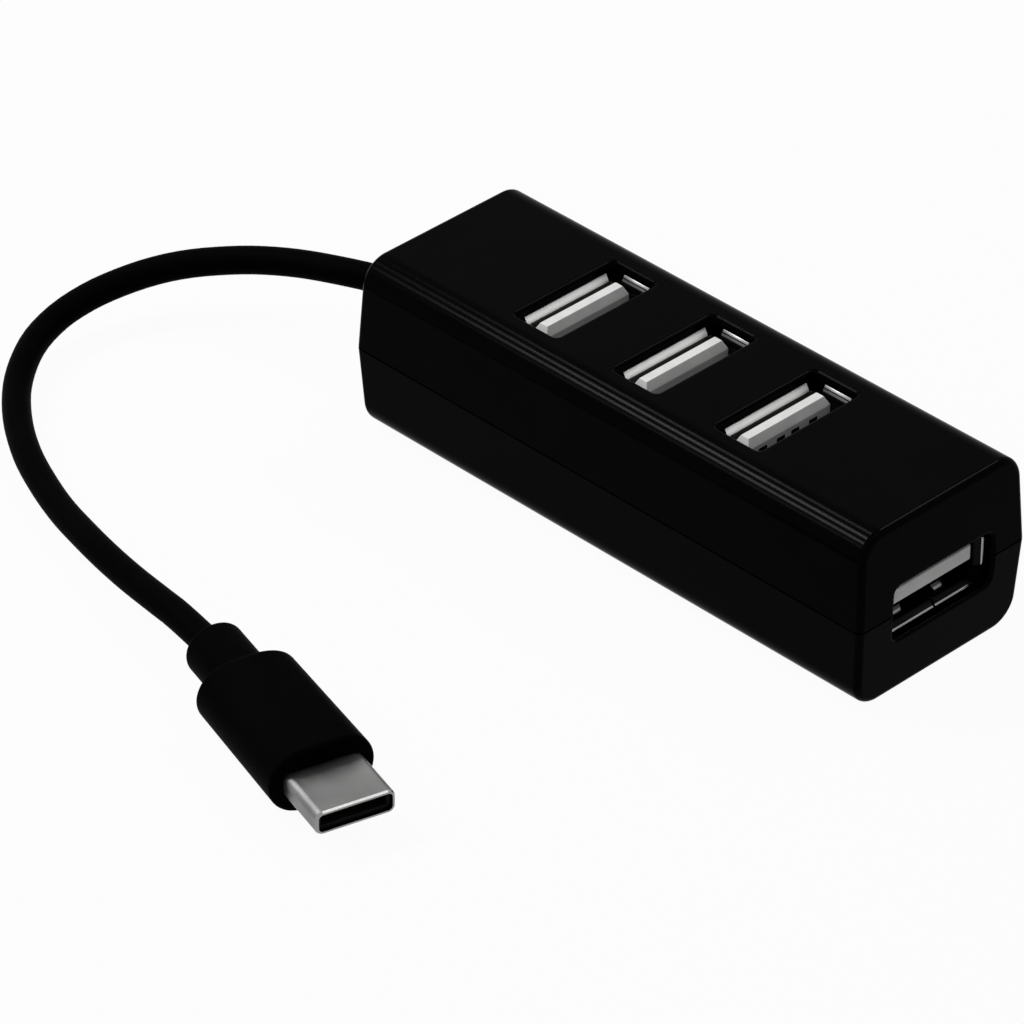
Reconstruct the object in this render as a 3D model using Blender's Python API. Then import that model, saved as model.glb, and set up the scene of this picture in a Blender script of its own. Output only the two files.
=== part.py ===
# Four-socket USB hub with a short captive cable that ends in a USB-C plug.
# Sizes are in metres and +Z is up. The origin lies under the middle of the housing,
# +X points at the end socket, -X at the cable, and -Y at the plug's side of the loop.

import math

import bmesh
import bpy
from mathutils import Vector

# Housing: two drafted halves that meet on a seam
BODY_LENGTH = 0.0694
BODY_WIDTH = 0.0233
BODY_HEIGHT = 0.0198
SEAM_HEIGHT = 0.0096
WALL_DRAFT_DEG = 3.15
LONG_EDGE_RADIUS = 0.0031
END_EDGE_RADIUS = 0.0007
WALL = 0.0012
TOP_WALL = 0.0010
FLOOR_WALL = 0.0012
SEAM_GAP = 0.00012
LIP_HEIGHT = 0.0010
LIP_CLEARANCE = 0.00006
OPENING_RIM = 0.0004
TOP_OPENING_CORNER = 0.0005
END_OPENING_CORNER = 0.0009
END_OPENING_EXTRA = 0.0001
OVERRUN = 0.0010

# Ribs and posts that hold the circuit board
RIB_THICKNESS = 0.0012
RIB_DEPTH = 0.0020
RIB_TOP_GAP = 0.0004
POST_SIZE = 0.0022
POST_INSET_X = 0.0050
POST_INSET_Y = 0.0014

# USB-A sockets: three upright ones on the top and one lying at the end
SOCKET_PITCH = 0.01375
TOP_SOCKETS = 3
SOCKET_INNER_WIDTH = 0.0125
SOCKET_INNER_HEIGHT = 0.0051
SHEET = 0.0003
SHELL_CORNER = 0.0006
MOUTH_FLARE = 0.00035
MOUTH_LIP = 0.0006
LONG_LIP = 0.0114
SHORT_LIP = 0.0036
OPENING_MARGIN_WIDE = 0.0004
OPENING_MARGIN_NARROW = 0.00012
END_SOCKET_DEPTH = 0.0120
END_SOCKET_HEIGHT = 0.0095
LEG_WIDTH = 0.0016
LEG_LENGTH = 0.0022
LEG_THICKNESS = 0.00033
SPRING_WIDTH = 0.0018
SPRING_OFFSET = 0.0029
SPRING_SLIT = 0.0003
SPRING_RISE = 0.0007
SPRING_ROOT = 0.0080
SPRING_CREST = 0.0023
SPRING_TIP = 0.0013

# Insulator and contacts of a USB-A socket
TONGUE_WIDTH = 0.0111
TONGUE_THICKNESS = 0.00185
TONGUE_CONTACT_SIDE = 0.00015
TONGUE_PROUD = 0.00005
TONGUE_CHAMFER_IN = 0.0005
TONGUE_CHAMFER_DOWN = 0.0009
BASE_LENGTH = 0.0016
CONTACT_INNER_PITCH = 0.0020
CONTACT_OUTER_PITCH = 0.0070
CONTACT_WIDTH = 0.0008
CONTACT_THICKNESS = 0.00025
CONTACT_SETBACK = 0.0022
CONTACT_TAIL = 0.0006
CONTACT_KNEE = 0.0006
GROOVE_CLEARANCE = 0.00012

# Circuit board and what sits on it
BOARD_THICKNESS = 0.0012
BOARD_SIDE_GAP = 0.0009
BOARD_REAR_GAP = 0.0012
BOARD_CORNER = 0.0012
BOARD_FRONT_GAP = 0.0005
SEAT_GAP = 0.0001
SHELL_STANDOFF = 0.0002
HOLE_CLEARANCE = 0.00015
CHIP_SIDE = 0.0050
CHIP_HEIGHT = 0.0009
CRYSTAL_LENGTH = 0.0112
CRYSTAL_WIDTH = 0.0044
CRYSTAL_HEIGHT = 0.0034
BULK_RADIUS = 0.0025
BULK_HEIGHT = 0.0065
BULK_RIM = 0.0003
BULK_GAP = 0.0034
PART_EDGE_GAP = 0.0006
FUSE_LENGTH = 0.0045
FUSE_WIDTH = 0.0032
FUSE_HEIGHT = 0.0010
CHIP_CAPACITOR_LENGTH = 0.0016
CHIP_CAPACITOR_WIDTH = 0.0008
CHIP_CAPACITOR_OUTER_Y = 0.0042
CHIP_CAPACITOR_INNER_Y = 0.0020
CHIP_CAPACITOR_GAP = 0.0003
BLOCK_EDGE = 0.0001

# Cable, its grommet and its wires
CABLE_DIAMETER = 0.0030
CABLE_HEIGHT = 0.0090
CABLE_STEP = 0.0060
CABLE_GAP = 0.0003
GROMMET_NECK_RADIUS = 0.0024
GROMMET_FLANGE_RADIUS = 0.0032
GROMMET_FLANGE = 0.0010
GROMMET_SLEEVE = 0.0040
GROMMET_TIP_WALL = 0.0005
GROMMET_CLEARANCE = 0.0001
GROMMET_TIP_EDGE = 0.00015
WIRE_RADIUS = 0.0004
WIRE_PITCH = 0.0011
PAD_PITCH = 0.0024
PAD_INSET = 0.0030

# The cable's own route, from the grommet round to the plug
CABLE_ROUTE = (
    (-0.0425, -0.0006, 0.0089),
    (-0.0459, -0.0016, 0.0087),
    (-0.0514, -0.0034, 0.0081),
    (-0.0559, -0.0054, 0.0074),
    (-0.0594, -0.0076, 0.0067),
    (-0.0622, -0.0101, 0.0061),
    (-0.0644, -0.0128, 0.0054),
    (-0.0660, -0.0160, 0.0047),
    (-0.0669, -0.0195, 0.0041),
    (-0.0670, -0.0236, 0.0034),
    (-0.0657, -0.0281, 0.0027),
    (-0.0625, -0.0328, 0.0020),
    (-0.0579, -0.0369, 0.0017),
    (-0.0525, -0.0403, 0.0016),
    (-0.0472, -0.0427, 0.0016),
    (-0.0423, -0.0445, 0.0017),
    (-0.0375, -0.0459, 0.0020),
    (-0.0328, -0.0471, 0.0023),
    (-0.0278, -0.0482, 0.0027),
    (-0.0223, -0.0492, 0.0032),
    (-0.0192, -0.0497, 0.0034),
)

# USB-C plug at the far end of the cable, lying flat
PLUG_X = 0.0091
PLUG_Y = -0.0571
PLUG_YAW_DEG = -15.8
PLUG_WIDTH = 0.01105
PLUG_HEIGHT = 0.0070
PLUG_REAR_WIDTH = 0.01075
PLUG_REAR_HEIGHT = 0.0065
PLUG_LENGTH = 0.0164
PLUG_FRONT_EDGE = 0.0004
PLUG_SHOULDER = 0.0007
NECK_WIDTH = 0.0061
NECK_HEIGHT = 0.0058
NECK_LENGTH = 0.0067
NECK_EDGE = 0.0006
PLUG_SHELL_WIDTH = 0.00834
PLUG_SHELL_HEIGHT = 0.00256
PLUG_SHELL_CORNER = 0.0008
PLUG_SHELL_SHEET = 0.00025
PLUG_SHELL_EXPOSED = 0.00665
PLUG_SHELL_EMBED = 0.0032
PLUG_FIT = 0.00006
PLUG_SLOT_WIDTH = 0.0069
PLUG_SLOT_HEIGHT = 0.0011
PLUG_SLOT_DEPTH = 0.0056
PLUG_INSULATOR_SETBACK = 0.0005
PADDLE_WIDTH = 0.0066
PADDLE_LENGTH = 0.0056
PADDLE_THICKNESS = 0.0008
FINGER_PITCH = 0.0005
FINGER_WIDTH = 0.00028
FINGER_THICKNESS = 0.00015
FINGERS = 12
FINGER_SETBACK = 0.0010
FINGER_BAR = 0.0004

# Facets of the rounded stretches
LONG_EDGE_STEPS = 7
SMALL_EDGE_STEPS = 2
CORNER_STEPS = 3
ROUND_STEPS = 24
STADIUM_STEPS = 8
CURVE_STEPS = 12
WIRE_STEPS = 8
SHARP_ANGLE_DEG = 32

# Worked out from the sizes above
DRAFT = math.tan(math.radians(WALL_DRAFT_DEG))
HALF_LENGTH = BODY_LENGTH / 2
HALF_WIDTH = BODY_WIDTH / 2
BETWEEN_SOCKETS = SOCKET_PITCH / 2
SHELL_HALF_THICK = SOCKET_INNER_HEIGHT / 2 + SHEET
SHELL_HALF_WIDE = SOCKET_INNER_WIDTH / 2 + SHEET
TOP_MOUTH_Z = BODY_HEIGHT - TOP_WALL - SEAT_GAP
END_MOUTH_X = HALF_LENGTH - WALL - SEAT_GAP - DRAFT * SHELL_HALF_THICK
BOARD_TOP = END_SOCKET_HEIGHT - SHELL_HALF_THICK - SHELL_STANDOFF
BOARD_BOTTOM = BOARD_TOP - BOARD_THICKNESS
TOP_SOCKET_DEPTH = TOP_MOUTH_Z - BOARD_TOP - SHELL_STANDOFF
GROOVE_DEPTH = CONTACT_THICKNESS + GROOVE_CLEARANCE
CONTACT_FACE = TONGUE_CONTACT_SIDE - GROOVE_DEPTH + GROOVE_CLEARANCE / 2
CONTACT_PLACES = (
    -CONTACT_OUTER_PITCH / 2,
    -CONTACT_INNER_PITCH / 2,
    CONTACT_INNER_PITCH / 2,
    CONTACT_OUTER_PITCH / 2,
)
SOCKET_PLACES = [SOCKET_PITCH * (i - (TOP_SOCKETS - 1) / 2) for i in range(TOP_SOCKETS)]
CABLE_EXIT_X = -HALF_LENGTH - GROMMET_SLEEVE
FLANGE_REACH = GROMMET_FLANGE_RADIUS + SEAM_HEIGHT - CABLE_HEIGHT
FLANGE_X = -HALF_LENGTH + WALL + DRAFT * FLANGE_REACH + GROMMET_CLEARANCE
BOARD_REAR_X = FLANGE_X + GROMMET_FLANGE + BOARD_REAR_GAP
BOARD_FRONT_X = END_MOUTH_X - MOUTH_LIP - BOARD_FRONT_GAP
BOARD_HALF = HALF_WIDTH - WALL - DRAFT * (SEAM_HEIGHT - BOARD_BOTTOM) - BOARD_SIDE_GAP
BULK_X = SOCKET_PLACES[0] - SHELL_HALF_THICK - BULK_GAP - BULK_RADIUS

for leftover in list(bpy.data.objects):
    bpy.data.objects.remove(leftover, do_unlink=True)


def material(name, colour, roughness, metallic=0.0):
    made = bpy.data.materials.new(name)
    made.use_nodes = True
    shader = made.node_tree.nodes["Principled BSDF"]
    shader.inputs["Base Color"].default_value = (*colour, 1.0)
    shader.inputs["Roughness"].default_value = roughness
    shader.inputs["Metallic"].default_value = metallic
    made.diffuse_color = (*colour, 1.0)
    return made


GLOSS_BLACK = material("gloss black plastic", (0.012, 0.012, 0.013), 0.22)
SATIN_BLACK = material("satin black rubber", (0.013, 0.013, 0.013), 0.45)
NICKEL = material("nickel plated steel", (0.62, 0.61, 0.59), 0.28, 1.0)
IVORY = material("ivory insulator", (0.82, 0.80, 0.76), 0.45)
BLACK_INSULATOR = material("black insulator", (0.02, 0.02, 0.02), 0.5)
GOLD = material("gold plated contact", (0.80, 0.58, 0.22), 0.3, 1.0)
BOARD_GREEN = material("solder mask green", (0.02, 0.14, 0.06), 0.4)
CHIP_BLACK = material("moulded chip black", (0.025, 0.025, 0.027), 0.6)
CAN_STEEL = material("drawn can steel", (0.55, 0.55, 0.56), 0.3, 1.0)
SLEEVE_BLUE = material("capacitor sleeve", (0.02, 0.03, 0.08), 0.35)
FUSE_YELLOW = material("fuse body", (0.55, 0.36, 0.05), 0.5)
CERAMIC = material("capacitor ceramic", (0.42, 0.28, 0.16), 0.5)
WIRE_COLOURS = (
    ("red", material("red wire", (0.55, 0.02, 0.02), 0.45)),
    ("white", material("white wire", (0.80, 0.80, 0.78), 0.45)),
    ("green", material("green wire", (0.02, 0.30, 0.06), 0.45)),
    ("black", material("black wire", (0.02, 0.02, 0.02), 0.45)),
)


def add_object(name, mesh, finish=None, parent=None):
    made = bpy.data.objects.new(name, mesh)
    bpy.context.scene.collection.objects.link(made)
    if finish:
        mesh.materials.append(finish)
    if parent:
        made.parent = parent
    return made


def finished(bm, name):
    """Turns a bmesh into mesh data with its faces pointing out and its rounds shaded smooth."""
    bmesh.ops.recalc_face_normals(bm, faces=bm.faces)
    mesh = bpy.data.meshes.new(name)
    bm.to_mesh(mesh)
    bm.free()
    mesh.shade_smooth()
    mesh.set_sharp_from_angle(angle=math.radians(SHARP_ANGLE_DEG))
    return mesh


def loft(name, rings, ring_shaped=False):
    """Skins rings of equal point counts: capped at both ends, or closed round on itself."""
    bm = bmesh.new()
    loops = [[bm.verts.new(point) for point in ring] for ring in rings]
    pairs = list(zip(loops, loops[1:]))
    if ring_shaped:
        pairs.append((loops[-1], loops[0]))
    else:
        bm.faces.new(loops[0])
        bm.faces.new(loops[-1])
    for first, second in pairs:
        for i in range(len(first)):
            j = (i + 1) % len(first)
            bm.faces.new((first[i], first[j], second[j], second[i]))
    return finished(bm, name)


def boxes(name, corners):
    """One mesh of separate boxes, each given by its lowest and highest corner."""
    bm = bmesh.new()
    for low, high in corners:
        size = Vector(high) - Vector(low)
        middle = (Vector(high) + Vector(low)) / 2
        for vert in bmesh.ops.create_cube(bm, size=1.0)["verts"]:
            vert.co = Vector(a * b for a, b in zip(vert.co, size)) + middle
    return finished(bm, name)


def slab(name, outline, low, high):
    """An outline in X and Y pulled straight from one height to another."""
    return loft(name, [[(x, y, z) for x, y in outline] for z in (low, high)])


def rounded_outline(half_u, half_v, radius, steps):
    """A rectangle with round corners, anticlockwise."""
    radius = min(radius, half_u, half_v)
    points = []
    for quarter, (u, v) in enumerate(((1, 1), (-1, 1), (-1, -1), (1, -1))):
        for k in range(steps + 1):
            angle = math.radians(90 * (quarter + k / steps))
            points.append(
                (
                    u * (half_u - radius) + radius * math.cos(angle),
                    v * (half_v - radius) + radius * math.sin(angle),
                )
            )
    return points


def helper(name, mesh, parent=None):
    """A shape that only cuts or joins others."""
    made = add_object(name, mesh, parent=parent)
    made.hide_render = True
    made.display_type = "WIRE"
    return made


def boolean(target, other, operation="DIFFERENCE"):
    step = target.modifiers.new(other.name, "BOOLEAN")
    step.operation = operation
    step.solver = "EXACT"
    step.object = other


def quarter_steps(count):
    return [math.pi / 2 * k / count for k in range(count + 1)]


def housing_half(name, side, inset, far, corner, edge, overrun=0.0):
    """A drafted half of the housing, on the upper (side 1) or lower (side -1) side of the seam.

    inset moves the walls in, far is the distance from the seam to the outer face, corner rounds
    the two long edges, edge rounds the ends, and overrun carries the shape past the seam."""
    lean = math.radians(WALL_DRAFT_DEG)
    half_length = HALF_LENGTH - inset
    centre_y = HALF_WIDTH - inset - DRAFT * (far - corner) - corner / math.cos(lean)
    centre_t = far - corner

    def ring(end, shrink, back):
        side_points = [(HALF_WIDTH - inset - shrink + DRAFT * overrun, -overrun)]
        for k in range(LONG_EDGE_STEPS + 1):
            angle = lean + (math.pi / 2 - lean) * k / LONG_EDGE_STEPS
            reach = corner - shrink
            side_points.append((centre_y + reach * math.cos(angle), centre_t + reach * math.sin(angle)))
        outline = side_points + [(-y, t) for y, t in reversed(side_points)]
        return [
            (end * (half_length - DRAFT * t - back), y, SEAM_HEIGHT + side * t) for y, t in outline
        ]

    rolls = [(edge * (1 - math.sin(a)), edge * (1 - math.cos(a))) for a in quarter_steps(SMALL_EDGE_STEPS)]
    if not edge:
        rolls = [(0.0, 0.0)]
    rings = [ring(-1, shrink, back) for shrink, back in rolls]
    rings += [ring(1, shrink, back) for shrink, back in reversed(rolls)]
    return loft(name, rings)


def seam_frame(name, outer_inset, inner_inset, low, high):
    """The lip that follows the seam, as an upright ring between two insets of the wall."""
    rings = []
    for inset, z in ((outer_inset, low), (outer_inset, high), (inner_inset, high), (inner_inset, low)):
        half_sizes = (HALF_LENGTH - inset, HALF_WIDTH - inset)
        outline = rounded_outline(*half_sizes, END_EDGE_RADIUS, SMALL_EDGE_STEPS)
        rings.append([(x, y, z) for x, y in outline])
    return loft(name, rings, ring_shaped=True)


def rim_profile(depth):
    """(growth, height) pairs of a cutter that leaves a rounded rim on the face at height 0."""
    rolls = [
        (OPENING_RIM * (1 - math.cos(a)), OPENING_RIM * (math.sin(a) - 1))
        for a in quarter_steps(SMALL_EDGE_STEPS)
    ]
    return [(0.0, -depth)] + rolls + [(OPENING_RIM, OVERRUN)]


def end_face_x(z):
    return HALF_LENGTH - DRAFT * abs(z - SEAM_HEIGHT)


def opening_outline(growth, corner):
    return rounded_outline(
        SHELL_HALF_THICK + OPENING_MARGIN_NARROW + growth,
        SHELL_HALF_WIDE + OPENING_MARGIN_WIDE + growth,
        corner + growth,
        CORNER_STEPS,
    )


def top_opening(name, x):
    rings = []
    for growth, height in rim_profile(TOP_WALL + OVERRUN):
        outline = opening_outline(growth, TOP_OPENING_CORNER)
        rings.append([(x + u, v, BODY_HEIGHT + height) for u, v in outline])
    return helper(name, loft(name, rings))


def end_opening(name):
    rings = []
    for growth, height in rim_profile(WALL + OVERRUN):
        ring = []
        for u, v in opening_outline(growth + END_OPENING_EXTRA, END_OPENING_CORNER):
            z = END_SOCKET_HEIGHT + u
            ring.append((end_face_x(z) + height, v, z))
        rings.append(ring)
    return helper(name, loft(name, rings))


def turned_x(name, profile, z):
    """A solid turned about an axis along X, from (x, radius) pairs."""
    rings = []
    for x, radius in profile:
        ring = []
        for k in range(ROUND_STEPS):
            angle = 2 * math.pi * k / ROUND_STEPS
            ring.append((x, radius * math.cos(angle), z + radius * math.sin(angle)))
        rings.append(ring)
    return loft(name, rings)


def build_housing():
    upper_far = BODY_HEIGHT - SEAM_HEIGHT
    lower_far = SEAM_HEIGHT
    inner_corner = LONG_EDGE_RADIUS - WALL
    upper = add_object(
        "upper_shell",
        housing_half("upper_shell", 1, 0.0, upper_far, LONG_EDGE_RADIUS, END_EDGE_RADIUS),
        GLOSS_BLACK,
    )
    lower = add_object(
        "lower_shell",
        housing_half("lower_shell", -1, 0.0, lower_far, LONG_EDGE_RADIUS, END_EDGE_RADIUS),
        GLOSS_BLACK,
    )
    upper_room = housing_half("upper_room", 1, WALL, upper_far - TOP_WALL, inner_corner, 0.0, OVERRUN)
    lower_room = housing_half("lower_room", -1, WALL, lower_far - FLOOR_WALL, inner_corner, 0.0, OVERRUN)
    boolean(upper, helper("upper_room", upper_room))
    boolean(lower, helper("lower_room", lower_room))

    # The lower half carries a lip in the inner part of the wall, and the upper half is cut back for it
    middle = WALL / 2
    lip_low, lip_top = SEAM_HEIGHT - LIP_HEIGHT, SEAM_HEIGHT + LIP_HEIGHT
    lip = seam_frame("seam_lip", middle + LIP_CLEARANCE, WALL, lip_low, lip_top)
    rebate = seam_frame("seam_rebate", middle, WALL + OVERRUN, lip_low, lip_top + SEAM_GAP)
    boolean(upper, helper("seam_rebate", rebate))
    parting = boxes(
        "seam_parting",
        [
            (
                (-BODY_LENGTH, -BODY_WIDTH, SEAM_HEIGHT - SEAM_GAP / 2),
                (BODY_LENGTH, BODY_WIDTH, SEAM_HEIGHT + SEAM_GAP / 2),
            )
        ],
    )
    parting_cutter = helper("seam_parting", parting)
    boolean(upper, parting_cutter)
    boolean(lower, parting_cutter)
    boolean(lower, helper("seam_lip", lip), "UNION")

    # Ribs reach down from the upper half and posts up from the lower one, with the board between
    rib_outer = HALF_WIDTH - WALL - DRAFT * upper_far / 2
    ribs = []
    posts = []
    for side in (-1, 1):
        near, far = sorted((side * rib_outer, side * (rib_outer - RIB_DEPTH)))
        for x in (-BETWEEN_SOCKETS, BETWEEN_SOCKETS):
            low = (x - RIB_THICKNESS / 2, near, BOARD_TOP + SEAT_GAP)
            ribs.append((low, (x + RIB_THICKNESS / 2, far, BODY_HEIGHT - TOP_WALL - RIB_TOP_GAP)))
        y = side * (BOARD_HALF - POST_INSET_Y)
        for x in (BOARD_REAR_X + POST_INSET_X, BOARD_FRONT_X - POST_INSET_X):
            low = (x - POST_SIZE / 2, y - POST_SIZE / 2, FLOOR_WALL / 2)
            posts.append((low, (x + POST_SIZE / 2, y + POST_SIZE / 2, BOARD_BOTTOM - SEAT_GAP)))
    boolean(upper, helper("board_ribs", boxes("board_ribs", ribs)), "UNION")
    boolean(lower, helper("board_posts", boxes("board_posts", posts)), "UNION")

    for number, x in enumerate(SOCKET_PLACES, 1):
        boolean(upper, top_opening(f"top_opening_{number}", x))
    end_cutter = end_opening("end_opening")
    neck = GROMMET_NECK_RADIUS + GROMMET_CLEARANCE
    hole_span = ((-HALF_LENGTH - OVERRUN, neck), (-HALF_LENGTH + WALL + OVERRUN, neck))
    cable_cutter = helper("cable_hole", turned_x("cable_hole", hole_span, CABLE_HEIGHT))
    for half in (upper, lower):
        boolean(half, end_cutter)
        boolean(half, cable_cutter)


def socket_empty(name, place, turn=0.0):
    """A socket's own frame: mouth at the origin facing +Z, tongue towards -X, wide way along Y."""
    made = bpy.data.objects.new(name, None)
    made.location = place
    made.rotation_euler = (0.0, turn, 0.0)
    bpy.context.scene.collection.objects.link(made)
    return made


def shell_stations():
    """Points round the middle of the sheet, as (x, y, outward x, outward y, on a lip's run)."""
    across = SHELL_HALF_THICK - SHEET / 2
    wide = SHELL_HALF_WIDE - SHEET / 2
    corner = SHELL_CORNER
    spring_edges = []
    for middle in (-SPRING_OFFSET, SPRING_OFFSET):
        for reach in (SPRING_WIDTH / 2, SPRING_WIDTH / 2 + SPRING_SLIT):
            spring_edges += [middle - reach, middle + reach]
    stations = []

    def straight(places, point, normal, half_lip):
        for place in places:
            stations.append((*point(place), *normal, abs(place) <= half_lip + 1e-9))

    def bend(x, y, start):
        for k in range(1, CORNER_STEPS):
            angle = math.radians(start + 90 * k / CORNER_STEPS)
            nx, ny = math.cos(angle), math.sin(angle)
            stations.append((x + corner * nx, y + corner * ny, nx, ny, False))

    flat_y = wide - corner
    flat_x = across - corner
    long_half = LONG_LIP / 2
    short_half = SHORT_LIP / 2
    long_places = [-flat_y, -long_half, long_half, flat_y]
    short_places = [-flat_x, -short_half, short_half, flat_x]
    contact_places = sorted(long_places + spring_edges)
    straight(contact_places, lambda p: (across, p), (1, 0), long_half)
    bend(flat_x, flat_y, 0)
    straight(short_places[::-1], lambda p: (p, wide), (0, 1), short_half)
    bend(-flat_x, flat_y, 90)
    straight(long_places[::-1], lambda p: (-across, p), (-1, 0), long_half)
    bend(-flat_x, -flat_y, 180)
    straight(short_places, lambda p: (p, -wide), (0, -1), short_half)
    bend(flat_x, -flat_y, 270)
    return stations


def socket_shell(name, frame, depth, legs):
    """A drawn sheet-metal tube with flared mouth lips, two sprung fingers and legs for the board."""
    levels = (-depth, -SPRING_ROOT, -SPRING_CREST, -SPRING_TIP, -SPRING_TIP + SPRING_SLIT, -MOUTH_LIP)
    rises = (0.0, 0.0, SPRING_RISE, 0.0, 0.0, 0.0)
    stations = shell_stations()
    bm = bmesh.new()

    def on_contact_side(station):
        return station[2] > 0.99

    def in_spring(first, second, spread):
        if not (on_contact_side(first) and on_contact_side(second)):
            return False
        middle = (first[1] + second[1]) / 2
        return abs(abs(middle) - SPRING_OFFSET) < spread

    def on_spring(station):
        off = abs(abs(station[1]) - SPRING_OFFSET)
        return on_contact_side(station) and off < SPRING_WIDTH / 2 + SPRING_SLIT / 2

    grid = []
    for station in stations:
        x, y, nx, ny, _ = station
        column = []
        for level, rise in zip(levels, rises):
            inward = rise if on_spring(station) else 0.0
            column.append(bm.verts.new((x - nx * inward, y - ny * inward, level)))
        grid.append(column)
    lips = {}
    for i, (x, y, nx, ny, on_lip) in enumerate(stations):
        if on_lip:
            lips[i] = bm.verts.new((x + nx * MOUTH_FLARE, y + ny * MOUTH_FLARE, 0.0))
    for i, first in enumerate(stations):
        j = (i + 1) % len(stations)
        second = stations[j]
        for k in range(len(levels) - 1):
            in_slit_run = 1 <= k <= 3
            in_window = in_spring(first, second, SPRING_WIDTH / 2 + SPRING_SLIT)
            in_finger = in_spring(first, second, SPRING_WIDTH / 4)
            if in_slit_run and in_window and not (in_finger and k < 3):
                continue
            bm.faces.new((grid[i][k], grid[j][k], grid[j][k + 1], grid[i][k + 1]))
        if i in lips and j in lips:
            bm.faces.new((grid[i][-1], grid[j][-1], lips[j], lips[i]))
    made = add_object(name, finished(bm, name), NICKEL, frame)
    skin = made.modifiers.new("sheet", "SOLIDIFY")
    skin.thickness = SHEET
    skin.offset = 0.0
    skin.use_even_offset = True
    boolean(made, helper(name + "_legs", boxes(name + "_legs", legs), frame), "UNION")


def socket_insulator(name, frame, depth):
    """The moulded base that closes the shell's back, with the tongue that stands in the mouth."""
    across = SOCKET_INNER_HEIGHT / 2 - SEAT_GAP
    wide = SOCKET_INNER_WIDTH / 2 - SEAT_GAP
    outline = rounded_outline(across, wide, SHELL_CORNER, CORNER_STEPS)
    base = slab(name, outline, -depth, -depth + BASE_LENGTH)
    made = add_object(name, base, IVORY, frame)
    rings = []
    back = TONGUE_CONTACT_SIDE - TONGUE_THICKNESS
    stages = (
        (-depth + BASE_LENGTH / 2, 0.0),
        (TONGUE_PROUD - TONGUE_CHAMFER_DOWN, 0.0),
        (TONGUE_PROUD, TONGUE_CHAMFER_IN),
    )
    for z, inset in stages:
        half = TONGUE_WIDTH / 2 - inset
        low, high = back + inset, TONGUE_CONTACT_SIDE - inset
        rings.append([(low, -half, z), (high, -half, z), (high, half, z), (low, half, z)])
    tongue = helper(name + "_tongue", loft(name + "_tongue", rings), frame)
    boolean(made, tongue, "UNION")
    half_groove = CONTACT_WIDTH / 2 + GROOVE_CLEARANCE
    top = TONGUE_PROUD - CONTACT_SETBACK + GROOVE_CLEARANCE
    cuts = []
    for y in CONTACT_PLACES:
        low = (TONGUE_CONTACT_SIDE - GROOVE_DEPTH, y - half_groove, -depth - OVERRUN)
        cuts.append((low, (TONGUE_CONTACT_SIDE + GROOVE_DEPTH, y + half_groove, top)))
    boolean(made, helper(name + "_grooves", boxes(name + "_grooves", cuts), frame))


def socket_contacts(prefix, frame, depth, knee_reach):
    """Four strips along the tongue, straight down or turned through a knee to reach the board."""
    top = TONGUE_PROUD - CONTACT_SETBACK
    near = CONTACT_FACE
    far = CONTACT_FACE + CONTACT_THICKNESS
    for number, y in enumerate(CONTACT_PLACES, 1):
        name = f"{prefix}_contact_{number}"
        if knee_reach:
            heel = -depth - CONTACT_KNEE
            outline = [
                (near, top),
                (far, top),
                (far, heel + CONTACT_THICKNESS),
                (knee_reach, heel + CONTACT_THICKNESS),
                (knee_reach, heel),
                (near, heel),
            ]
        else:
            foot = -depth - SHELL_STANDOFF - BOARD_THICKNESS - CONTACT_TAIL
            outline = [(near, top), (far, top), (far, foot), (near, foot)]
        sides = (y - CONTACT_WIDTH / 2, y + CONTACT_WIDTH / 2)
        rings = [[(x, side, z) for x, z in outline] for side in sides]
        add_object(name, loft(name, rings), GOLD, frame)


def leg_boxes(depth, lying):
    """Two legs, one on each short wall, that reach through the board."""
    legs = []
    wall = SHELL_HALF_WIDE - SHEET / 2
    for side in (-1, 1):
        low_y = side * wall - LEG_THICKNESS / 2
        high_y = side * wall + LEG_THICKNESS / 2
        if lying:
            middle = -depth / 2
            reach = END_SOCKET_HEIGHT - BOARD_BOTTOM + CONTACT_TAIL
            low = (0.0, low_y, middle - LEG_WIDTH / 2)
            high = (reach, high_y, middle + LEG_WIDTH / 2)
        else:
            low = (-LEG_WIDTH / 2, low_y, -depth - LEG_LENGTH)
            high = (LEG_WIDTH / 2, high_y, -depth + LEG_WIDTH)
        legs.append((low, high))
    return legs


def build_sockets():
    for number, x in enumerate(SOCKET_PLACES, 1):
        frame = socket_empty(f"top_socket_{number}", (x, 0.0, TOP_MOUTH_Z))
        legs = leg_boxes(TOP_SOCKET_DEPTH, False)
        socket_shell(f"top_socket_{number}_shell", frame, TOP_SOCKET_DEPTH, legs)
        socket_insulator(f"top_socket_{number}_insulator", frame, TOP_SOCKET_DEPTH)
        socket_contacts(f"top_socket_{number}", frame, TOP_SOCKET_DEPTH, 0.0)
    frame = socket_empty("end_socket", (END_MOUTH_X, 0.0, END_SOCKET_HEIGHT), math.pi / 2)
    socket_shell("end_socket_shell", frame, END_SOCKET_DEPTH, leg_boxes(END_SOCKET_DEPTH, True))
    socket_insulator("end_socket_insulator", frame, END_SOCKET_DEPTH)
    knee = END_SOCKET_HEIGHT - BOARD_BOTTOM + CONTACT_TAIL
    socket_contacts("end_socket", frame, END_SOCKET_DEPTH, knee)


def board_hole(x, y, half_x, half_y):
    grow = HOLE_CLEARANCE
    low = (x - half_x - grow, y - half_y - grow, BOARD_BOTTOM - OVERRUN)
    high = (x + half_x + grow, y + half_y + grow, BOARD_TOP + OVERRUN)
    return low, high


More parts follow.
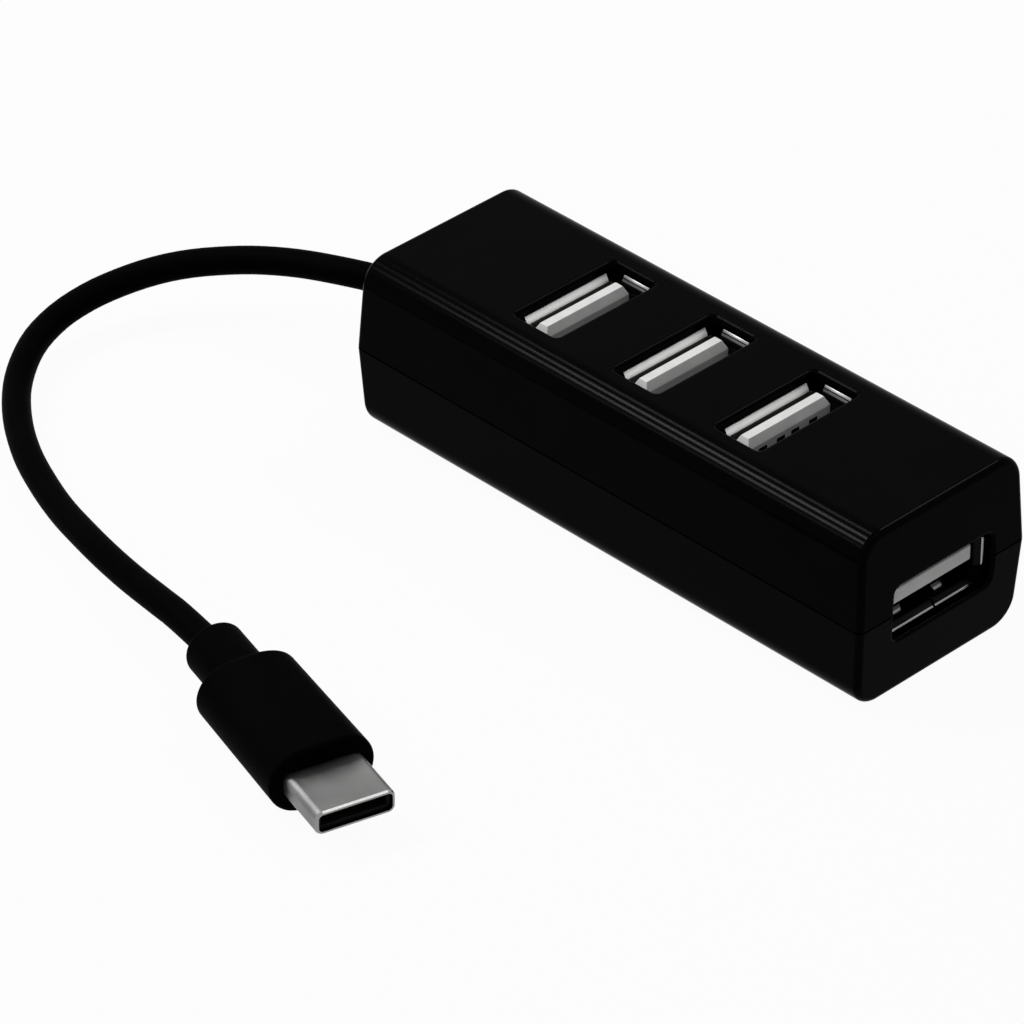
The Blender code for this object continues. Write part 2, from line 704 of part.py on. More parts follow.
def build_board():
    middle = (BOARD_FRONT_X + BOARD_REAR_X) / 2
    half_board = (BOARD_FRONT_X - BOARD_REAR_X) / 2
    outline = rounded_outline(half_board, BOARD_HALF, BOARD_CORNER, CORNER_STEPS)
    outline = [(x + middle, y) for x, y in outline]
    plate = slab("circuit_board", outline, BOARD_BOTTOM, BOARD_TOP)
    board = add_object("circuit_board", plate, BOARD_GREEN)
    strip = CONTACT_FACE + CONTACT_THICKNESS / 2
    leg_y = SHELL_HALF_WIDE - SHEET / 2
    holes = []
    for x in SOCKET_PLACES:
        for y in CONTACT_PLACES:
            holes.append(board_hole(x + strip, y, CONTACT_THICKNESS / 2, CONTACT_WIDTH / 2))
        for side in (-1, 1):
            holes.append(board_hole(x, side * leg_y, LEG_WIDTH / 2, SHEET))
    knee_x = END_MOUTH_X - END_SOCKET_DEPTH - CONTACT_KNEE + CONTACT_THICKNESS / 2
    for y in CONTACT_PLACES:
        holes.append(board_hole(knee_x, y, CONTACT_THICKNESS / 2, CONTACT_WIDTH / 2))
    for side in (-1, 1):
        holes.append(board_hole(END_MOUTH_X - END_SOCKET_DEPTH / 2, side * leg_y, LEG_WIDTH / 2, SHEET))
    boolean(board, helper("board_holes", boxes("board_holes", holes)))


def chip_block(name, place, size, finish):
    """A block-shaped component on the board, with its edges taken off."""
    low = (place[0] - size[0] / 2, place[1] - size[1] / 2, BOARD_TOP + SEAT_GAP)
    high = (place[0] + size[0] / 2, place[1] + size[1] / 2, BOARD_TOP + SEAT_GAP + size[2])
    made = add_object(name, boxes(name, [(low, high)]), finish)
    edge = made.modifiers.new("edges", "BEVEL")
    edge.width = BLOCK_EDGE
    edge.segments = 1
    edge.limit_method = "ANGLE"


def build_components():
    chip_size = (CHIP_SIDE, CHIP_SIDE, CHIP_HEIGHT)
    chip_block("hub_chip", (-BETWEEN_SOCKETS, 0.0), chip_size, CHIP_BLACK)
    seat = BOARD_TOP + SEAT_GAP
    half_crystal = (CRYSTAL_WIDTH / 2, CRYSTAL_LENGTH / 2)
    outline = rounded_outline(*half_crystal, CRYSTAL_WIDTH / 2, STADIUM_STEPS)
    outline = [(x + BETWEEN_SOCKETS, y) for x, y in outline]
    add_object("crystal_can", slab("crystal_can", outline, seat, seat + CRYSTAL_HEIGHT), CAN_STEEL)
    bulk_y = BOARD_HALF - BULK_RADIUS - PART_EDGE_GAP
    rings = []
    stages = ((0.0, BULK_RIM), (BULK_RIM, 0.0), (BULK_HEIGHT - BULK_RIM, 0.0), (BULK_HEIGHT, BULK_RIM))
    for height, shrink in stages:
        outline = rounded_outline(BULK_RADIUS - shrink, BULK_RADIUS - shrink, BULK_RADIUS, STADIUM_STEPS)
        rings.append([(BULK_X + x, bulk_y + y, seat + height) for x, y in outline])
    add_object("bulk_capacitor", loft("bulk_capacitor", rings), SLEEVE_BLUE)
    fuse_size = (FUSE_WIDTH, FUSE_LENGTH, FUSE_HEIGHT)
    fuse_y = -(BOARD_HALF - FUSE_LENGTH / 2 - PART_EDGE_GAP)
    chip_block("resettable_fuse", (BULK_X, fuse_y), fuse_size, FUSE_YELLOW)
    beside_crystal = BETWEEN_SOCKETS - (CRYSTAL_WIDTH + CHIP_CAPACITOR_WIDTH) / 2 - CHIP_CAPACITOR_GAP
    places = (
        (-BETWEEN_SOCKETS, -CHIP_CAPACITOR_OUTER_Y),
        (-BETWEEN_SOCKETS, CHIP_CAPACITOR_OUTER_Y),
        (beside_crystal, -CHIP_CAPACITOR_INNER_Y),
        (beside_crystal, CHIP_CAPACITOR_INNER_Y),
    )
    size = (CHIP_CAPACITOR_WIDTH, CHIP_CAPACITOR_LENGTH, CHIP_CAPACITOR_WIDTH)
    for number, place in enumerate(places, 1):
        chip_block(f"chip_capacitor_{number}", place, size, CERAMIC)


def smooth_through(points, step):
    """Evenly spaced points on a smooth curve through the given ones."""
    points = [Vector(p) for p in points]
    padded = [2 * points[0] - points[1], *points, 2 * points[-1] - points[-2]]
    fine = []
    for a, b, c, d in zip(padded, padded[1:], padded[2:], padded[3:]):
        for k in range(CURVE_STEPS):
            t = k / CURVE_STEPS
            square = 2 * a - 5 * b + 4 * c - d
            cube = 3 * b - a - 3 * c + d
            fine.append((2 * b + (c - a) * t + square * t**2 + cube * t**3) / 2)
    fine.append(points[-1])
    lengths = [0.0]
    for p, q in zip(fine, fine[1:]):
        lengths.append(lengths[-1] + (q - p).length)
    count = max(2, round(lengths[-1] / step))
    even = []
    place = 0
    for k in range(count + 1):
        target = lengths[-1] * k / count
        while place < len(fine) - 2 and lengths[place + 1] < target:
            place += 1
        span = lengths[place + 1] - lengths[place]
        even.append(fine[place].lerp(fine[place + 1], (target - lengths[place]) / span))
    return even


def tube(name, points, radius, finish, resolution):
    curve = bpy.data.curves.new(name, "CURVE")
    curve.dimensions = "3D"
    curve.bevel_depth = radius
    curve.bevel_resolution = resolution
    curve.use_fill_caps = True
    spline = curve.splines.new("POLY")
    spline.points.add(len(points) - 1)
    for slot, point in zip(spline.points, points):
        slot.co = (*point, 1.0)
    return add_object(name, curve, finish)


def build_cable():
    tip = CABLE_DIAMETER / 2 + GROMMET_TIP_WALL
    profile = (
        (CABLE_EXIT_X, tip - GROMMET_TIP_EDGE),
        (CABLE_EXIT_X + GROMMET_TIP_EDGE, tip),
        (-HALF_LENGTH - GROMMET_CLEARANCE, GROMMET_NECK_RADIUS),
        (FLANGE_X, GROMMET_NECK_RADIUS),
        (FLANGE_X, GROMMET_FLANGE_RADIUS),
        (FLANGE_X + GROMMET_FLANGE, GROMMET_FLANGE_RADIUS),
    )
    add_object("cable_grommet", turned_x("cable_grommet", profile, CABLE_HEIGHT), SATIN_BLACK)

    yaw = math.radians(PLUG_YAW_DEG)
    plug_axis = Vector((math.cos(yaw), math.sin(yaw), 0.0))
    plug_front = Vector((PLUG_X, PLUG_Y, PLUG_HEIGHT / 2))
    neck_end = plug_front - plug_axis * (PLUG_LENGTH + NECK_LENGTH + CABLE_GAP)
    route = [(CABLE_EXIT_X - CABLE_GAP, 0.0, CABLE_HEIGHT), *CABLE_ROUTE, neck_end]
    tube("cable", smooth_through(route, CABLE_STEP), CABLE_DIAMETER / 2, SATIN_BLACK, 2)

    start_x = FLANGE_X + GROMMET_FLANGE + GROMMET_CLEARANCE
    pad_x = BOARD_REAR_X + PAD_INSET
    landing = BOARD_TOP + SEAT_GAP + WIRE_RADIUS
    for number, (colour, finish) in enumerate(WIRE_COLOURS):
        rank = number - (len(WIRE_COLOURS) - 1) / 2
        points = []
        for k in range(WIRE_STEPS + 1):
            t = k / WIRE_STEPS
            ease = t * t * (3 - 2 * t)
            points.append(
                (
                    start_x + (pad_x - start_x) * t,
                    rank * (WIRE_PITCH + (PAD_PITCH - WIRE_PITCH) * ease),
                    CABLE_HEIGHT + (landing - CABLE_HEIGHT) * ease,
                )
            )
        tube(f"{colour}_wire", points, WIRE_RADIUS, finish, 1)


def stadium(half_y, half_z):
    return rounded_outline(half_y, half_z, half_z, STADIUM_STEPS)


def build_plug():
    frame = bpy.data.objects.new("plug", None)
    frame.location = (PLUG_X, PLUG_Y, PLUG_HEIGHT / 2)
    frame.rotation_euler = (0.0, 0.0, math.radians(PLUG_YAW_DEG))
    bpy.context.scene.collection.objects.link(frame)

    def along(stages):
        return [[(x, y, z) for y, z in stadium(half_y, half_z)] for x, half_y, half_z in stages]

    body = (PLUG_WIDTH / 2, PLUG_HEIGHT / 2)
    hip = (PLUG_REAR_WIDTH / 2, PLUG_REAR_HEIGHT / 2)
    neck = (NECK_WIDTH / 2, NECK_HEIGHT / 2)
    stages = []
    rear = -PLUG_LENGTH - NECK_LENGTH
    for a in quarter_steps(SMALL_EDGE_STEPS):
        shrink = NECK_EDGE * (1 - math.sin(a))
        stages.append((rear + NECK_EDGE * (1 - math.cos(a)), neck[0] - shrink, neck[1] - shrink))
    for a in quarter_steps(2 * SMALL_EDGE_STEPS):
        grown = math.sin(a)
        half_y = neck[0] + (hip[0] - neck[0]) * grown
        half_z = neck[1] + (hip[1] - neck[1]) * grown
        stages.append((-PLUG_LENGTH + PLUG_SHOULDER * (1 - math.cos(a)), half_y, half_z))
    for a in quarter_steps(SMALL_EDGE_STEPS):
        shrink = PLUG_FRONT_EDGE * (1 - math.cos(a))
        stages.append((-PLUG_FRONT_EDGE * (1 - math.sin(a)), body[0] - shrink, body[1] - shrink))
    overmould = add_object("plug_overmould", loft("plug_overmould", along(stages)), SATIN_BLACK, frame)

    def shell_rings(stages):
        rings = []
        for x, inset in stages:
            half_y, half_z = PLUG_SHELL_WIDTH / 2 - inset, PLUG_SHELL_HEIGHT / 2 - inset
            outline = rounded_outline(half_y, half_z, PLUG_SHELL_CORNER - inset, STADIUM_STEPS)
            rings.append([(x, y, z) for y, z in outline])
        return rings

    back = -PLUG_SHELL_EMBED
    front = PLUG_SHELL_EXPOSED
    pocket = shell_rings([(x, -PLUG_FIT) for x in (back - PLUG_FIT, OVERRUN)])
    boolean(overmould, helper("plug_pocket", loft("plug_pocket", pocket), frame))
    paddle_back = back - PLUG_FIT - PADDLE_LENGTH
    half_paddle = (PADDLE_WIDTH / 2, PADDLE_THICKNESS / 2)
    room = (
        (paddle_back - PLUG_FIT, -half_paddle[0] - PLUG_FIT, -half_paddle[1] - PLUG_FIT),
        (back + OVERRUN, half_paddle[0] + PLUG_FIT, half_paddle[1] + PLUG_FIT),
    )
    boolean(overmould, helper("paddle_pocket", boxes("paddle_pocket", [room]), frame))

    roll = PLUG_SHELL_SHEET / 2
    sheet = shell_rings(
        [
            (back, 0.0),
            (front - roll, 0.0),
            (front, roll / 2),
            (front, PLUG_SHELL_SHEET - roll / 2),
            (front - roll, PLUG_SHELL_SHEET),
            (back, PLUG_SHELL_SHEET),
        ]
    )
    add_object("plug_shell", loft("plug_shell", sheet, ring_shaped=True), NICKEL, frame)

    face = front - PLUG_INSULATOR_SETBACK
    core = shell_rings([(x, PLUG_SHELL_SHEET + PLUG_FIT) for x in (back, face)])
    block = add_object("plug_insulator", loft("plug_insulator", core), BLACK_INSULATOR, frame)
    slot_end = face - PLUG_SLOT_DEPTH
    slot = (
        (slot_end, -PLUG_SLOT_WIDTH / 2, -PLUG_SLOT_HEIGHT / 2),
        (face + OVERRUN, PLUG_SLOT_WIDTH / 2, PLUG_SLOT_HEIGHT / 2),
    )
    boolean(block, helper("plug_slot", boxes("plug_slot", [slot]), frame))

    low = (paddle_back, -half_paddle[0], -half_paddle[1])
    high = (back - PLUG_FIT, half_paddle[0], half_paddle[1])
    add_object("plug_paddle_board", boxes("plug_paddle_board", [(low, high)]), BOARD_GREEN, frame)

    # Each row of plug contacts is a comb: fingers that spring from one bar at the slot's end
    outline = [(slot_end + PLUG_FIT, -FINGERS * FINGER_PITCH / 2)]
    bar = slot_end + PLUG_FIT + FINGER_BAR
    tip = face - FINGER_SETBACK
    for number in range(FINGERS):
        middle = (number - (FINGERS - 1) / 2) * FINGER_PITCH
        for x, side in ((bar, -1), (tip, -1), (tip, 1), (bar, 1)):
            outline.append((x, middle + side * FINGER_WIDTH / 2))
    outline.append((slot_end + PLUG_FIT, FINGERS * FINGER_PITCH / 2))
    top = PLUG_SLOT_HEIGHT / 2 - PLUG_FIT
    for name, low in (("plug_upper_contacts", top - FINGER_THICKNESS), ("plug_lower_contacts", -top)):
        add_object(name, slab(name, outline, low, low + FINGER_THICKNESS), GOLD, frame)


build_housing()
build_sockets()
build_board()
build_components()
build_cable()
build_plug()
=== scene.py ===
import math

import bmesh
import bpy
from mathutils import Matrix, Vector


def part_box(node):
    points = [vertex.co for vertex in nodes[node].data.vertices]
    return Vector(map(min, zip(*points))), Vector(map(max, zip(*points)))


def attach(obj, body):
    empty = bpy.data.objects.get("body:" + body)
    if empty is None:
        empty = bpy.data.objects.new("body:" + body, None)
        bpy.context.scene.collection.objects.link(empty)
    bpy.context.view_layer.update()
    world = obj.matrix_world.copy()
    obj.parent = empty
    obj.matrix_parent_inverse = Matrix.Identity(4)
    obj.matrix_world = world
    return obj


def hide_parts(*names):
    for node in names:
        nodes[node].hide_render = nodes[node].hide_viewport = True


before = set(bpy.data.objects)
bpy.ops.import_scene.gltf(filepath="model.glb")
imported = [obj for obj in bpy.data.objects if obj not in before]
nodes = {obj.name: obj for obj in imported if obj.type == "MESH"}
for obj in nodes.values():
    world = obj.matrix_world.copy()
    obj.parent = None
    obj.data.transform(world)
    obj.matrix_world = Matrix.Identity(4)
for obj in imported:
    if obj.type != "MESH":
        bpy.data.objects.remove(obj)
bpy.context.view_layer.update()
scene = bpy.context.scene
print("frame loaded with", len(nodes), "nodes")


# Camera, at the photograph's angle

cameraSet = {
    "azimuth": 45.63,
    "elevation": 34.88,
    "target": (0.0, 0.0, 0.008),
    "distance": 0.642498,
    "slideRight": -0.016863,
    "slideUp": -0.005785,
    "lens": 229.13,
    "sensor": 36.0,
    "clip": (0.01, 50.0),
}


def addObject(name, data):
    made = bpy.data.objects.new(name, data)
    scene.collection.objects.link(made)
    return made


def addCamera(settings):
    around = math.radians(settings["azimuth"])
    rise = math.radians(settings["elevation"])
    level = math.cos(rise)
    back = Vector((math.sin(around) * level, -math.cos(around) * level, math.sin(rise)))
    turn = (-back).to_track_quat("-Z", "Y")
    data = bpy.data.cameras.new("productCamera")
    data.lens = settings["lens"]
    data.sensor_width = settings["sensor"]
    data.clip_start, data.clip_end = settings["clip"]
    camera = addObject("productCamera", data)
    camera.rotation_mode = "QUATERNION"
    camera.rotation_quaternion = turn
    slide = turn @ Vector((settings["slideRight"], settings["slideUp"], settings["distance"]))
    camera.location = Vector(settings["target"]) + slide
    scene.camera = camera
    return camera


camera = addCamera(cameraSet)
print("camera placed")


# Node groups shared by the finishes

def addNode(tree, kind, values=None, **fields):
    node = tree.nodes.new("ShaderNode" + kind)
    for field, value in fields.items():
        setattr(node, field, value)
    for label, value in (values or {}).items():
        node.inputs[label].default_value = value
    return node


def wire(tree, *links):
    # each link runs from one node's output to another's input
    for source, leaving, target, entering in links:
        tree.links.new(source.outputs[leaving], target.inputs[entering])


def newGroup(name, inputs, outputs):
    group = bpy.data.node_groups.new(name, "ShaderNodeTree")
    for label, kind, value in inputs:
        socket = group.interface.new_socket(name=label, in_out="INPUT", socket_type="NodeSocket" + kind)
        socket.default_value = value
    for label, kind in outputs:
        group.interface.new_socket(name=label, in_out="OUTPUT", socket_type="NodeSocket" + kind)
    return group, group.nodes.new("NodeGroupInput"), group.nodes.new("NodeGroupOutput")


def toneDriftGroup():
    # slow drift between two tones, as in any moulded or plated batch
    inputs = [
        ("Deep", "Color", (0.0, 0.0, 0.0, 1.0)),
        ("Light", "Color", (1.0, 1.0, 1.0, 1.0)),
        ("Scale", "Float", 200.0),
    ]
    group, enter, leave = newGroup("toneDrift", inputs, [("Color", "Color")])
    place = addNode(group, "TexCoord")
    noise = addNode(group, "TexNoise", {"Detail": 4.0})
    spread = addNode(group, "MapRange", {"From Min": 0.3, "From Max": 0.7})
    blend = addNode(group, "Mix", data_type="RGBA")
    wire(
        group,
        (place, "Object", noise, "Vector"),
        (enter, "Scale", noise, "Scale"),
        (noise, "Fac", spread, "Value"),
        (spread, "Result", blend, "Factor"),
        (enter, "Deep", blend, "A"),
        (enter, "Light", blend, "B"),
        (blend, "Result", leave, "Color"),
    )
    return group


def surfaceGrainGroup():
    # fine grain over a slower swell, stretched along one way for drawn metal
    inputs = [
        ("Scale", "Float", 3000.0),
        ("Stretch", "Vector", (1.0, 1.0, 1.0)),
        ("Swell", "Float", 0.3),
        ("Smooth", "Float", 0.1),
        ("Coarse", "Float", 0.2),
    ]
    group, enter, leave = newGroup("surfaceGrain", inputs, [("Roughness", "Float"), ("Height", "Float")])
    place = addNode(group, "TexCoord")
    stretch = addNode(group, "VectorMath", operation="MULTIPLY")
    fine = addNode(group, "TexNoise", {"Detail": 3.0})
    slowScale = addNode(group, "Math", {1: 0.12}, operation="MULTIPLY")  # the swell is that much coarser
    slow = addNode(group, "TexNoise", {"Detail": 2.0})
    swell = addNode(group, "Math", operation="MULTIPLY_ADD")
    spread = addNode(group, "MapRange", {"From Min": 0.3, "From Max": 0.9})
    wire(
        group,
        (place, "Object", stretch, 0),
        (enter, "Stretch", stretch, 1),
        (stretch, "Vector", fine, "Vector"),
        (stretch, "Vector", slow, "Vector"),
        (enter, "Scale", fine, "Scale"),
        (enter, "Scale", slowScale, 0),
        (slowScale, "Value", slow, "Scale"),
        (slow, "Fac", swell, 0),
        (enter, "Swell", swell, 1),
        (fine, "Fac", swell, 2),
        (swell, "Value", spread, "Value"),
        (enter, "Smooth", spread, "To Min"),
        (enter, "Coarse", spread, "To Max"),
        (spread, "Result", leave, "Roughness"),
        (swell, "Value", leave, "Height"),
    )
    return group


def maskTracksGroup():
    # copper tracks that show faintly through the solder mask
    group, enter, leave = newGroup("maskTracks", [("Pitch", "Float", 700.0)], [("Mask", "Float")])
    bricks = {
        "Color1": (0.0, 0.0, 0.0, 1.0),
        "Color2": (0.2, 0.2, 0.2, 1.0),
        "Mortar": (1.0, 1.0, 1.0, 1.0),
        "Mortar Size": 0.03,
        "Brick Width": 2.3,
        "Row Height": 0.6,
    }
    place = addNode(group, "TexCoord")
    cells = addNode(group, "TexBrick", bricks)
    grey = addNode(group, "RGBToBW")
    wire(
        group,
        (place, "Object", cells, "Vector"),
        (enter, "Pitch", cells, "Scale"),
        (cells, "Color", grey, "Color"),
        (grey, "Val", leave, "Mask"),
    )
    return group


toneDrift = toneDriftGroup()
surfaceGrain = surfaceGrainGroup()
maskTracks = maskTracksGroup()


def makeFinish(name, settings):
    made = bpy.data.materials.new(name)
    made.use_nodes = True
    tree = made.node_tree
    shader = tree.nodes["Principled BSDF"]
    shader.inputs["Metallic"].default_value = settings["metallic"]
    shader.inputs["Specular IOR Level"].default_value = settings["shine"]
    drift = {"Deep": settings["deep"], "Light": settings["light"], "Scale": settings["driftScale"]}
    tone = addNode(tree, "Group", drift, node_tree=toneDrift)
    texture = {
        "Scale": settings["grain"],
        "Stretch": settings["stretch"],
        "Swell": settings["swell"],
        "Smooth": settings["rough"][0],
        "Coarse": settings["rough"][1],
    }
    grain = addNode(tree, "Group", texture, node_tree=surfaceGrain)
    bump = addNode(tree, "Bump", {"Strength": settings["bump"], "Distance": settings["bumpDepth"]})
    wire(
        tree,
        (tone, "Color", shader, "Base Color"),
        (grain, "Roughness", shader, "Roughness"),
        (grain, "Height", bump, "Height"),
        (bump, "Normal", shader, "Normal"),
    )
    made.diffuse_color = settings["light"]
    return made


plainLook = {
    "metallic": 0.0,
    "shine": 0.5,
    "driftScale": 180.0,
    "stretch": (1.0, 1.0, 1.0),
    "swell": 0.3,
    "bump": 0.05,
    "bumpDepth": 0.00002,
}
drawn = {"grain": 2400.0, "stretch": (0.25, 0.25, 3.0), "metallic": 1.0}
plating = {"grain": 3000.0, "stretch": (3.0, 3.0, 0.3), "bump": 0.08, "metallic": 1.0}
jacket = {"rough": (0.35, 0.5), "grain": 3600.0, "bump": 0.1}


def look(deep, light, rough, **more):
    # two tones to drift between, a span of roughness, and what differs from the plain look
    return {**plainLook, "deep": (*deep, 1.0), "light": (*light, 1.0), "rough": rough, **more}


finishSet = {
    "glossBlack": look(
        (0.0006, 0.0006, 0.0006), (0.001, 0.001, 0.001), (0.1, 0.16),
        grain=2600.0, swell=0.5, bumpDepth=0.000012, shine=0.0085,
    ),
    "satinBlack": look(
        (0.0006, 0.0006, 0.0006), (0.0011, 0.0011, 0.0011), (0.42, 0.58),
        grain=5200.0, bump=0.16, shine=0.0045,
    ),
    # the next four are one plated nickel painted at four levels of light: the brightest is a painted
    # highlight for lips and sheet edges, the others painted half shade and painted shade for walls and
    # hollows
    "lipHighlightNickel": look((0.64, 0.637, 0.63), (0.74, 0.736, 0.728), (0.48, 0.6), bump=0.04, **drawn),
    "halfShadeNickel": look((0.1, 0.099, 0.098), (0.15, 0.149, 0.147), (0.34, 0.48), bump=0.06, **drawn),
    "wallShadeNickel": look((0.03, 0.03, 0.0295), (0.05, 0.05, 0.049), (0.2, 0.34), bump=0.1, **drawn),
    "shadeNickel": look((0.003, 0.003, 0.003), (0.006, 0.006, 0.006), (0.34, 0.48), bump=0.06, **drawn),
    # a brighter, smoother copy of the same nickel: a painted highlight for the plug's mouth and the end
    # socket's sheet edges
    "mouthHighlightNickel": look(
        (0.24, 0.239, 0.237), (0.3, 0.299, 0.296), (0.12, 0.2),
        grain=2600.0, bump=0.04, metallic=1.0,
    ),
    "plugNickel": look(
        (0.158, 0.158, 0.1565), (0.212, 0.2113, 0.209), (0.28, 0.42),
        grain=2600.0, stretch=(0.3, 2.4, 2.4), bump=0.12, metallic=1.0,
    ),
    "ivoryTongue": look(
        (0.64, 0.637, 0.63), (0.74, 0.737, 0.73), (0.4, 0.56),
        grain=4200.0, driftScale=420.0, bump=0.18, shine=0.3,
    ),
    "insulatorBlackAndPocketShade": look(
        (0.004, 0.004, 0.004), (0.008, 0.008, 0.008), (0.45, 0.6),
        grain=4500.0, bump=0.15, shine=0.1,
    ),
    "contactGold": look((0.4, 0.28, 0.11), (0.52, 0.38, 0.16), (0.22, 0.36), **plating),
    "shadedGold": look((0.09, 0.063, 0.026), (0.14, 0.1, 0.042), (0.28, 0.42), **plating),
    "chipMould": look((0.016, 0.016, 0.017), (0.032, 0.032, 0.034), (0.55, 0.75), grain=6000.0, bump=0.3),
    "canSteel": look(
        (0.46, 0.46, 0.47), (0.6, 0.6, 0.61), (0.2, 0.36),
        grain=2500.0, stretch=(0.3, 0.3, 3.0), bump=0.1, metallic=1.0,
    ),
    "sleeveBlue": look((0.012, 0.018, 0.055), (0.03, 0.042, 0.1), (0.28, 0.42), grain=2200.0, bump=0.06),
    "fuseYellow": look((0.45, 0.28, 0.035), (0.6, 0.4, 0.06), (0.45, 0.62), grain=4000.0, bump=0.2),
    "firedCeramic": look((0.34, 0.22, 0.12), (0.48, 0.33, 0.2), (0.45, 0.65), grain=5200.0, bump=0.25),
    "solderMask": look((0.003, 0.022, 0.01), (0.006, 0.038, 0.017), (0.3, 0.45), grain=3400.0, bump=0.08),
    "redJacket": look((0.42, 0.012, 0.012), (0.56, 0.022, 0.02), **jacket),
    "whiteJacket": look((0.66, 0.66, 0.64), (0.78, 0.78, 0.76), **jacket),
    "greenJacket": look((0.014, 0.22, 0.045), (0.022, 0.31, 0.065), **jacket),
    "blackJacket": look((0.012, 0.012, 0.012), (0.022, 0.022, 0.022), **jacket),
}
finishes = {name: makeFinish(name, settings) for name, settings in finishSet.items()}
trackSet = {"pitch": 520.0, "tone": (0.012, 0.06, 0.026, 1.0)}


def addTracks(made, settings):
    tree = made.node_tree
    shader = tree.nodes["Principled BSDF"]
    tone = shader.inputs["Base Color"].links[0].from_node
    tracks = addNode(tree, "Group", {"Pitch": settings["pitch"]}, node_tree=maskTracks)
    blend = addNode(tree, "Mix", {"B": settings["tone"]}, data_type="RGBA")
    wire(
        tree,
        (tracks, "Mask", blend, "Factor"),
        (tone, "Color", blend, "A"),
        (blend, "Result", shader, "Base Color"),
    )


addTracks(finishes["solderMask"], trackSet)
print("finishes made:", len(finishes))


# Small mesh helpers

mergeGap = 1e-7  # points nearer than this are one point
plainAngle = 30  # degrees, where a piece gives no sharp angle of its own
flatWeight = 80  # how far big flat faces set the shading


def smoothed(bm, mesh, sharpDeg):
    bm.to_mesh(mesh)
    bm.free()
    mesh.shade_smooth()
    mesh.set_sharp_from_angle(angle=math.radians(sharpDeg))
    return mesh


def toMesh(bm, name, sharpDeg=plainAngle):
    bmesh.ops.recalc_face_normals(bm, faces=bm.faces)
    return smoothed(bm, bpy.data.meshes.new(name), sharpDeg)


def addPiece(name, mesh, finishNames, replaced, tones=None, even=True):
    # tones picks one of the finishes for each face
    piece = addObject(name, mesh)
    mesh.materials.clear()
    for finishName in finishNames:
        mesh.materials.append(finishes[finishName])
    if tones:
        mesh.polygons.foreach_set("material_index", tones)
    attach(piece, "root")
    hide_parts(replaced)
    if even:  # big flat faces keep their own normals, and only the rounds blend
        step = piece.modifiers.new("evenShading", "WEIGHTED_NORMAL")
        step.keep_sharp = True
        step.weight = flatWeight
    return piece


def skin(bm, rings, closed=False, capped=True):
    loops = [[bm.verts.new(point) for point in ring] for ring in rings]
    pairs = list(zip(loops, loops[1:]))
    if closed:
        pairs.append((loops[-1], loops[0]))
    for first, second in pairs:
        for i in range(len(first)):
            j = (i + 1) % len(first)
            bm.faces.new((first[i], first[j], second[j], second[i]))
    if capped and not closed:
        bm.faces.new(loops[0])
        bm.faces.new(loops[-1])
    if capped:
        bmesh.ops.remove_doubles(bm, verts=sum(loops, []), dist=mergeGap)
    return loops


def lofted(name, rings, sharpDeg=plainAngle, closed=False):
    bm = bmesh.new()
    skin(bm, rings, closed)
    return toMesh(bm, name, sharpDeg)


def boxes(name, corners):
    bm = bmesh.new()
    for low, high in corners:
        size = Vector(high) - Vector(low)
        middle = (Vector(high) + Vector(low)) / 2
        for vert in bmesh.ops.create_cube(bm, size=1.0)["verts"]:
            vert.co = Vector(a * b for a, b in zip(vert.co, size)) + middle
    return toMesh(bm, name)


def shares(count):
    return [k / count for k in range(count + 1)]


def roundedOutline(halfU, halfV, radius, steps):
    radius = min(radius, halfU, halfV)
    points = []
    for quarter, (u, v) in enumerate(((1, 1), (-1, 1), (-1, -1), (1, -1))):
        for t in shares(steps):
            angle = math.radians(90 * (quarter + t))
            across = u * (halfU - radius) + radius * math.cos(angle)
            along = v * (halfV - radius) + radius * math.sin(angle)
            points.append((across, along))
    return points


def circle(x, height, radius, count):
    ring = []
    for k in range(count):
        angle = 2 * math.pi * k / count
        ring.append((x, radius * math.cos(angle), height + radius * math.sin(angle)))
    return ring


def quarterSteps(count):
    return [math.pi / 2 * k / count for k in range(count + 1)]


def applied(body, *helpers):
    # the mesh that an object's modifiers leave, with the object and its helpers cleared away
    bpy.context.view_layer.update()
    graph = bpy.context.evaluated_depsgraph_get()
    made = bpy.data.meshes.new_from_object(body.evaluated_get(graph))
    for helper in (body, *helpers):
        bpy.data.objects.remove(helper, do_unlink=True)
    return made


def shaped(mesh, steps, sharpDeg):
    # runs a list of cuts and joins on a mesh and gives back the result
    body = addObject("shaping", mesh)
    helpers = []
    for operation, tool in steps:
        helpers.append(addObject("shapingTool", tool))
        change = body.modifiers.new(operation, "BOOLEAN")
        change.operation = operation
        change.solver = "EXACT"
        change.object = helpers[-1]
    made = applied(body, *helpers)
    bm = bmesh.new()
    bm.from_mesh(made)
    bmesh.ops.dissolve_degenerate(bm, dist=mergeGap, edges=bm.edges)
    return smoothed(bm, made, sharpDeg)


# Cable: one smooth curve from the sleeve round to the plug

